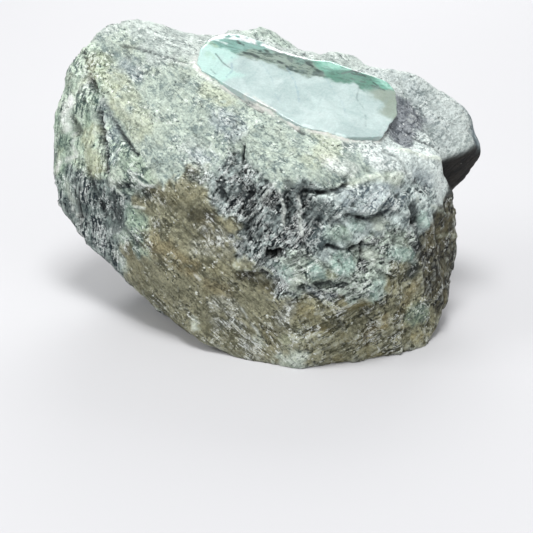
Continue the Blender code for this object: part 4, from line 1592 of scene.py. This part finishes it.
@dataclass
class PolishedEmerald:
    """The emerald: a flat polished face with a rounded edge, wider at the back, over a hidden root."""

    heart: Point = (2, 1, 76)
    face: FaceShape = field(default_factory=FaceShape)
    finish: EmeraldFinish = field(default_factory=EmeraldFinish)
    root_depth: float = 22
    root_shrink: float = 0.8
    front_round: float = 0.6
    back_round: float = 5.0
    back_starts: tuple[float, float] = (22, 40)
    face_rings: int = 110
    edge_rings: int = 14
    wall_rings: int = 8
    root_rings: tuple[float, float] = (0.66, 0.33)
    stretch: float = 0.55
    part_edge: float = 0.8
    part_wander: float = 2.2
    mark_wander: float = 0.5
    mark_fade: tuple[float, float] = (1.4, 0.4)
    gaps: tuple[float, float] = (-0.8, 0.2)
    # Painted highlight along the rounded back edge: its strength, the depths below the face, where it fades
    # in along y and out along x, and how much noise moves its right end.
    back_highlight_strength: float = 0.85
    back_highlight_depths: tuple[float, float] = (0.02, 0.5)
    back_highlight_y: tuple[float, float] = (36, 42)
    back_highlight_x: tuple[float, float] = (44, 6)
    back_highlight_wander: float = 5

    def build(self) -> Piece:
        """Makes the emerald as rings of the outline. Face rings shrink evenly to the middle, edge rings
        follow a quarter of a circle, and wall rings move in a straight line to the smaller root.

        Returns:
            The piece.
        """
        outline = self.face.lift(self.face.curve())
        middle = outline.mean(axis=0)
        arms = outline - middle
        outward = unit(arms)
        normal = unit(np.array(self.face.normal))
        widening = (self.back_round - self.front_round) * smooth_step(outline[:, 1:2], *self.back_starts)
        radius = self.front_round + widening
        inner = arms - outward * radius
        rings = [middle + inner * share for share in np.linspace(0, 1, self.face_rings + 1)[1:]]
        for turn in np.linspace(0, np.pi / 2, self.edge_rings + 1)[1:]:
            out = inner + outward * radius * np.sin(turn)
            rings.append(middle + out - normal * radius * (1 - np.cos(turn)))
        wall = rings[-1]
        root = unit(np.array(self.heart) - middle) * self.root_depth
        bottom = middle + (wall - middle) * self.root_shrink + root
        rings += [wall + (bottom - wall) * share for share in np.linspace(0, 1, self.wall_rings + 1)[1:]]
        end = bottom.mean(axis=0)
        rings += [end + (bottom - end) * share for share in self.root_rings]
        points = np.concatenate([[middle], *rings, [end]])
        piece = make_piece("polished_emerald", points, self.faces(len(rings), len(outline)))
        self.paint_parts(piece, points)
        return piece

    def faces(self, rings: int, around: int) -> list[list[int]]:
        """The faces between rings, and the fans that close the middle of the face and of the root.

        Args:
            rings: how many rings there are.
            around: how many points each has.

        Returns:
            The points of each face.
        """
        here = np.arange(around)
        after = (here + 1) % around
        first = np.column_stack([np.zeros(around, int), here + 1, after + 1]).tolist()
        start = 1 + np.arange(rings - 1)[:, None] * around
        below = start + around
        walls = np.stack([start + here, below + here, below + after, start + after], axis=-1)
        last = 1 + (rings - 1) * around
        end = np.column_stack([np.full(around, last + around), last + after, last + here]).tolist()
        return first + walls.reshape(-1, 4).tolist() + end

    def paint_parts(self, piece: Piece, points: Array) -> None:
        """Paints the colour of each point: the blend of the parts whose places are near it, with the marks
        and a painted highlight along the rounded back edge over it, after noise has moved the point a little.
        Distances along x count for less, as the parts are bands along it.

        Args:
            piece: the emerald.
            points: its points.
        """
        steps = wander(points, (21, 22), (1, 9, 0), (0.6, 3.5, 2), (0.4, 1.6, 4, MANY_CORNERS))
        squash = np.array([self.stretch, 1.0])
        moved = (points[:, :2] + self.part_wander * steps) * squash
        shares = nearest_shares(moved, VEIN_PLACES, self.part_edge, squash)
        tint = sum(np.outer(share, linear(vein.value)) for vein, share in shares.items())
        shaken = points[:, :2] + self.mark_wander * steps
        gaps = smooth_step(noises(points, (1, 3, 31), (0.6, 1.4, 32, MANY_CORNERS)), *self.gaps)
        for name, flaw, width, strength, *path in FACE_MARKS:
            share = strength * smooth_step(path_distance(shaken, path) / width, *self.mark_fade) * gaps
            report_missed(name, share)
            tint += share[:, None] * (linear(flaw.value) - tint)
        # Painted highlight: the rounded back edge is painted nearly white, fading towards the front and the
        # right.
        depth = self.face.height - points @ np.array(self.face.normal)
        back_highlight = smooth_step(depth, *self.back_highlight_depths) * smooth_step(points[:, 1], *self.back_highlight_y)
        ragged = points[:, 0] + self.back_highlight_wander * noise(points, 9, 33)
        back_highlight *= self.back_highlight_strength * smooth_step(ragged, *self.back_highlight_x)
        tint += back_highlight[:, None] * (linear(self.finish.back_highlight) - tint)
        paint(piece, "tint", tint)
        cloudy = shares[Vein.MICA] + shares[Vein.GREY]
        green = sum(shares[vein] for vein in (Vein.GREEN, Vein.DEEP, Vein.TEAL, Vein.BAND))
        paint(piece, "parts", np.column_stack([cloudy, green, shares[Vein.MILK]]))

    def dress(self, piece: Piece) -> None:
        """Gives the emerald its finish."""
        piece.data.materials.append(self.finish.material())


@dataclass(frozen=True)
class Lamp:
    """A square soft light that looks at a point of the stone. Its place is in metres."""

    name: str
    place: Point
    width: float
    power: float

    def build(self, target: Point) -> None:
        """Adds the light.

        Args:
            target: the point that it faces.
        """
        data = bpy.data.lights.new(self.name, "AREA")
        data.size = self.width
        data.energy = self.power
        lamp = add_object(self.name, data)
        lamp.location = self.place
        lamp.rotation_euler = (Vector(target) - Vector(self.place)).to_track_quat("-Z", "Y").to_euler()


@dataclass
class Studio:
    """A pale floor, soft lights, and the camera that saw the stone. Places are in metres."""

    floor_half: float = 3000
    floor_colour: Colour = (192, 192, 194)
    floor_roughness: float = 0.9
    sky_colour: Colour = (246, 247, 249)
    sky_strength: float = 0.50
    target: Point = (0.0, 0.0, 0.08)
    camera_place: Point = (0.0011, -0.7253, 0.3923)
    camera_target: Point = (0.0011, 0.0546, 0.0)
    camera_roll: float = 1.1
    lens: float = 93.55
    lamps: tuple[Lamp, ...] = (
        Lamp("key light", (-0.05, -0.25, 1.38), 0.45, 14.8),
        Lamp("left light", (-1.3, -0.30, 0.90), 0.6, 8.5),
        Lamp("right light", (0.9, -0.9, 0.70), 0.6, 3.0),
        Lamp("back light", (0.10, 1.25, 0.85), 1.0, 13.0),
    )

    def build_floor(self) -> Piece:
        """Makes the floor.

        Returns:
            The floor, which isn't part of the stone.
        """
        corners = self.floor_half * np.array([(-1, -1, 0), (1, -1, 0), (1, 1, 0), (-1, 1, 0)])
        floor = make_piece("floor", corners, [(0, 1, 2, 3)])
        finish = {"Base Color": (*linear(self.floor_colour), 1), "Roughness": self.floor_roughness}
        floor.data.materials.append(new_nodes("pale floor").finish(finish))
        return floor

    def build_light(self) -> None:
        """Sets the even light of the room and adds the lamps."""
        world = bpy.data.worlds.new("studio")
        world.use_nodes = True
        sky = world.node_tree.nodes["Background"]
        sky.inputs["Color"].default_value = (*linear(self.sky_colour), 1)
        sky.inputs["Strength"].default_value = self.sky_strength
        bpy.context.scene.world = world
        for lamp in self.lamps:
            lamp.build(self.target)

    def build_camera(self) -> None:
        """Places the camera and turns it by its roll."""
        data = bpy.data.cameras.new("camera")
        data.lens = self.lens
        camera = add_object("camera", data)
        looking = (Vector(self.camera_target) - Vector(self.camera_place)).to_track_quat("-Z", "Y")
        roll = Matrix.Rotation(np.radians(self.camera_roll), 4, "Z")
        camera.matrix_world = Matrix.Translation(self.camera_place) @ looking.to_matrix().to_4x4() @ roll
        bpy.context.scene.camera = camera


def place_piece(piece: Piece, node: str) -> None:
    """Puts a finished piece in the frame, in place of the solid that it shows.

    Args:
        piece: the piece.
        node: the solid's name.
    """
    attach(piece, "root")
    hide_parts(node)
    LOG.info("%s: %d faces", piece.name, len(piece.data.polygons))


def main() -> None:
    """Builds the stone and the studio round it."""
    logging.basicConfig(level=logging.INFO, format="%(name)s: %(message)s")
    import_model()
    bpy.context.scene.view_settings.view_transform = "Standard"
    block = MatrixBlock()
    rock = block.build()
    block.dress(rock)
    place_piece(rock, "matrix")
    gem = PolishedEmerald()
    stone = gem.build()
    gem.dress(stone)
    place_piece(stone, "emerald")
    studio = Studio()
    studio.build_floor()
    studio.build_light()
    studio.build_camera()


if __name__ == "__main__":
    main()
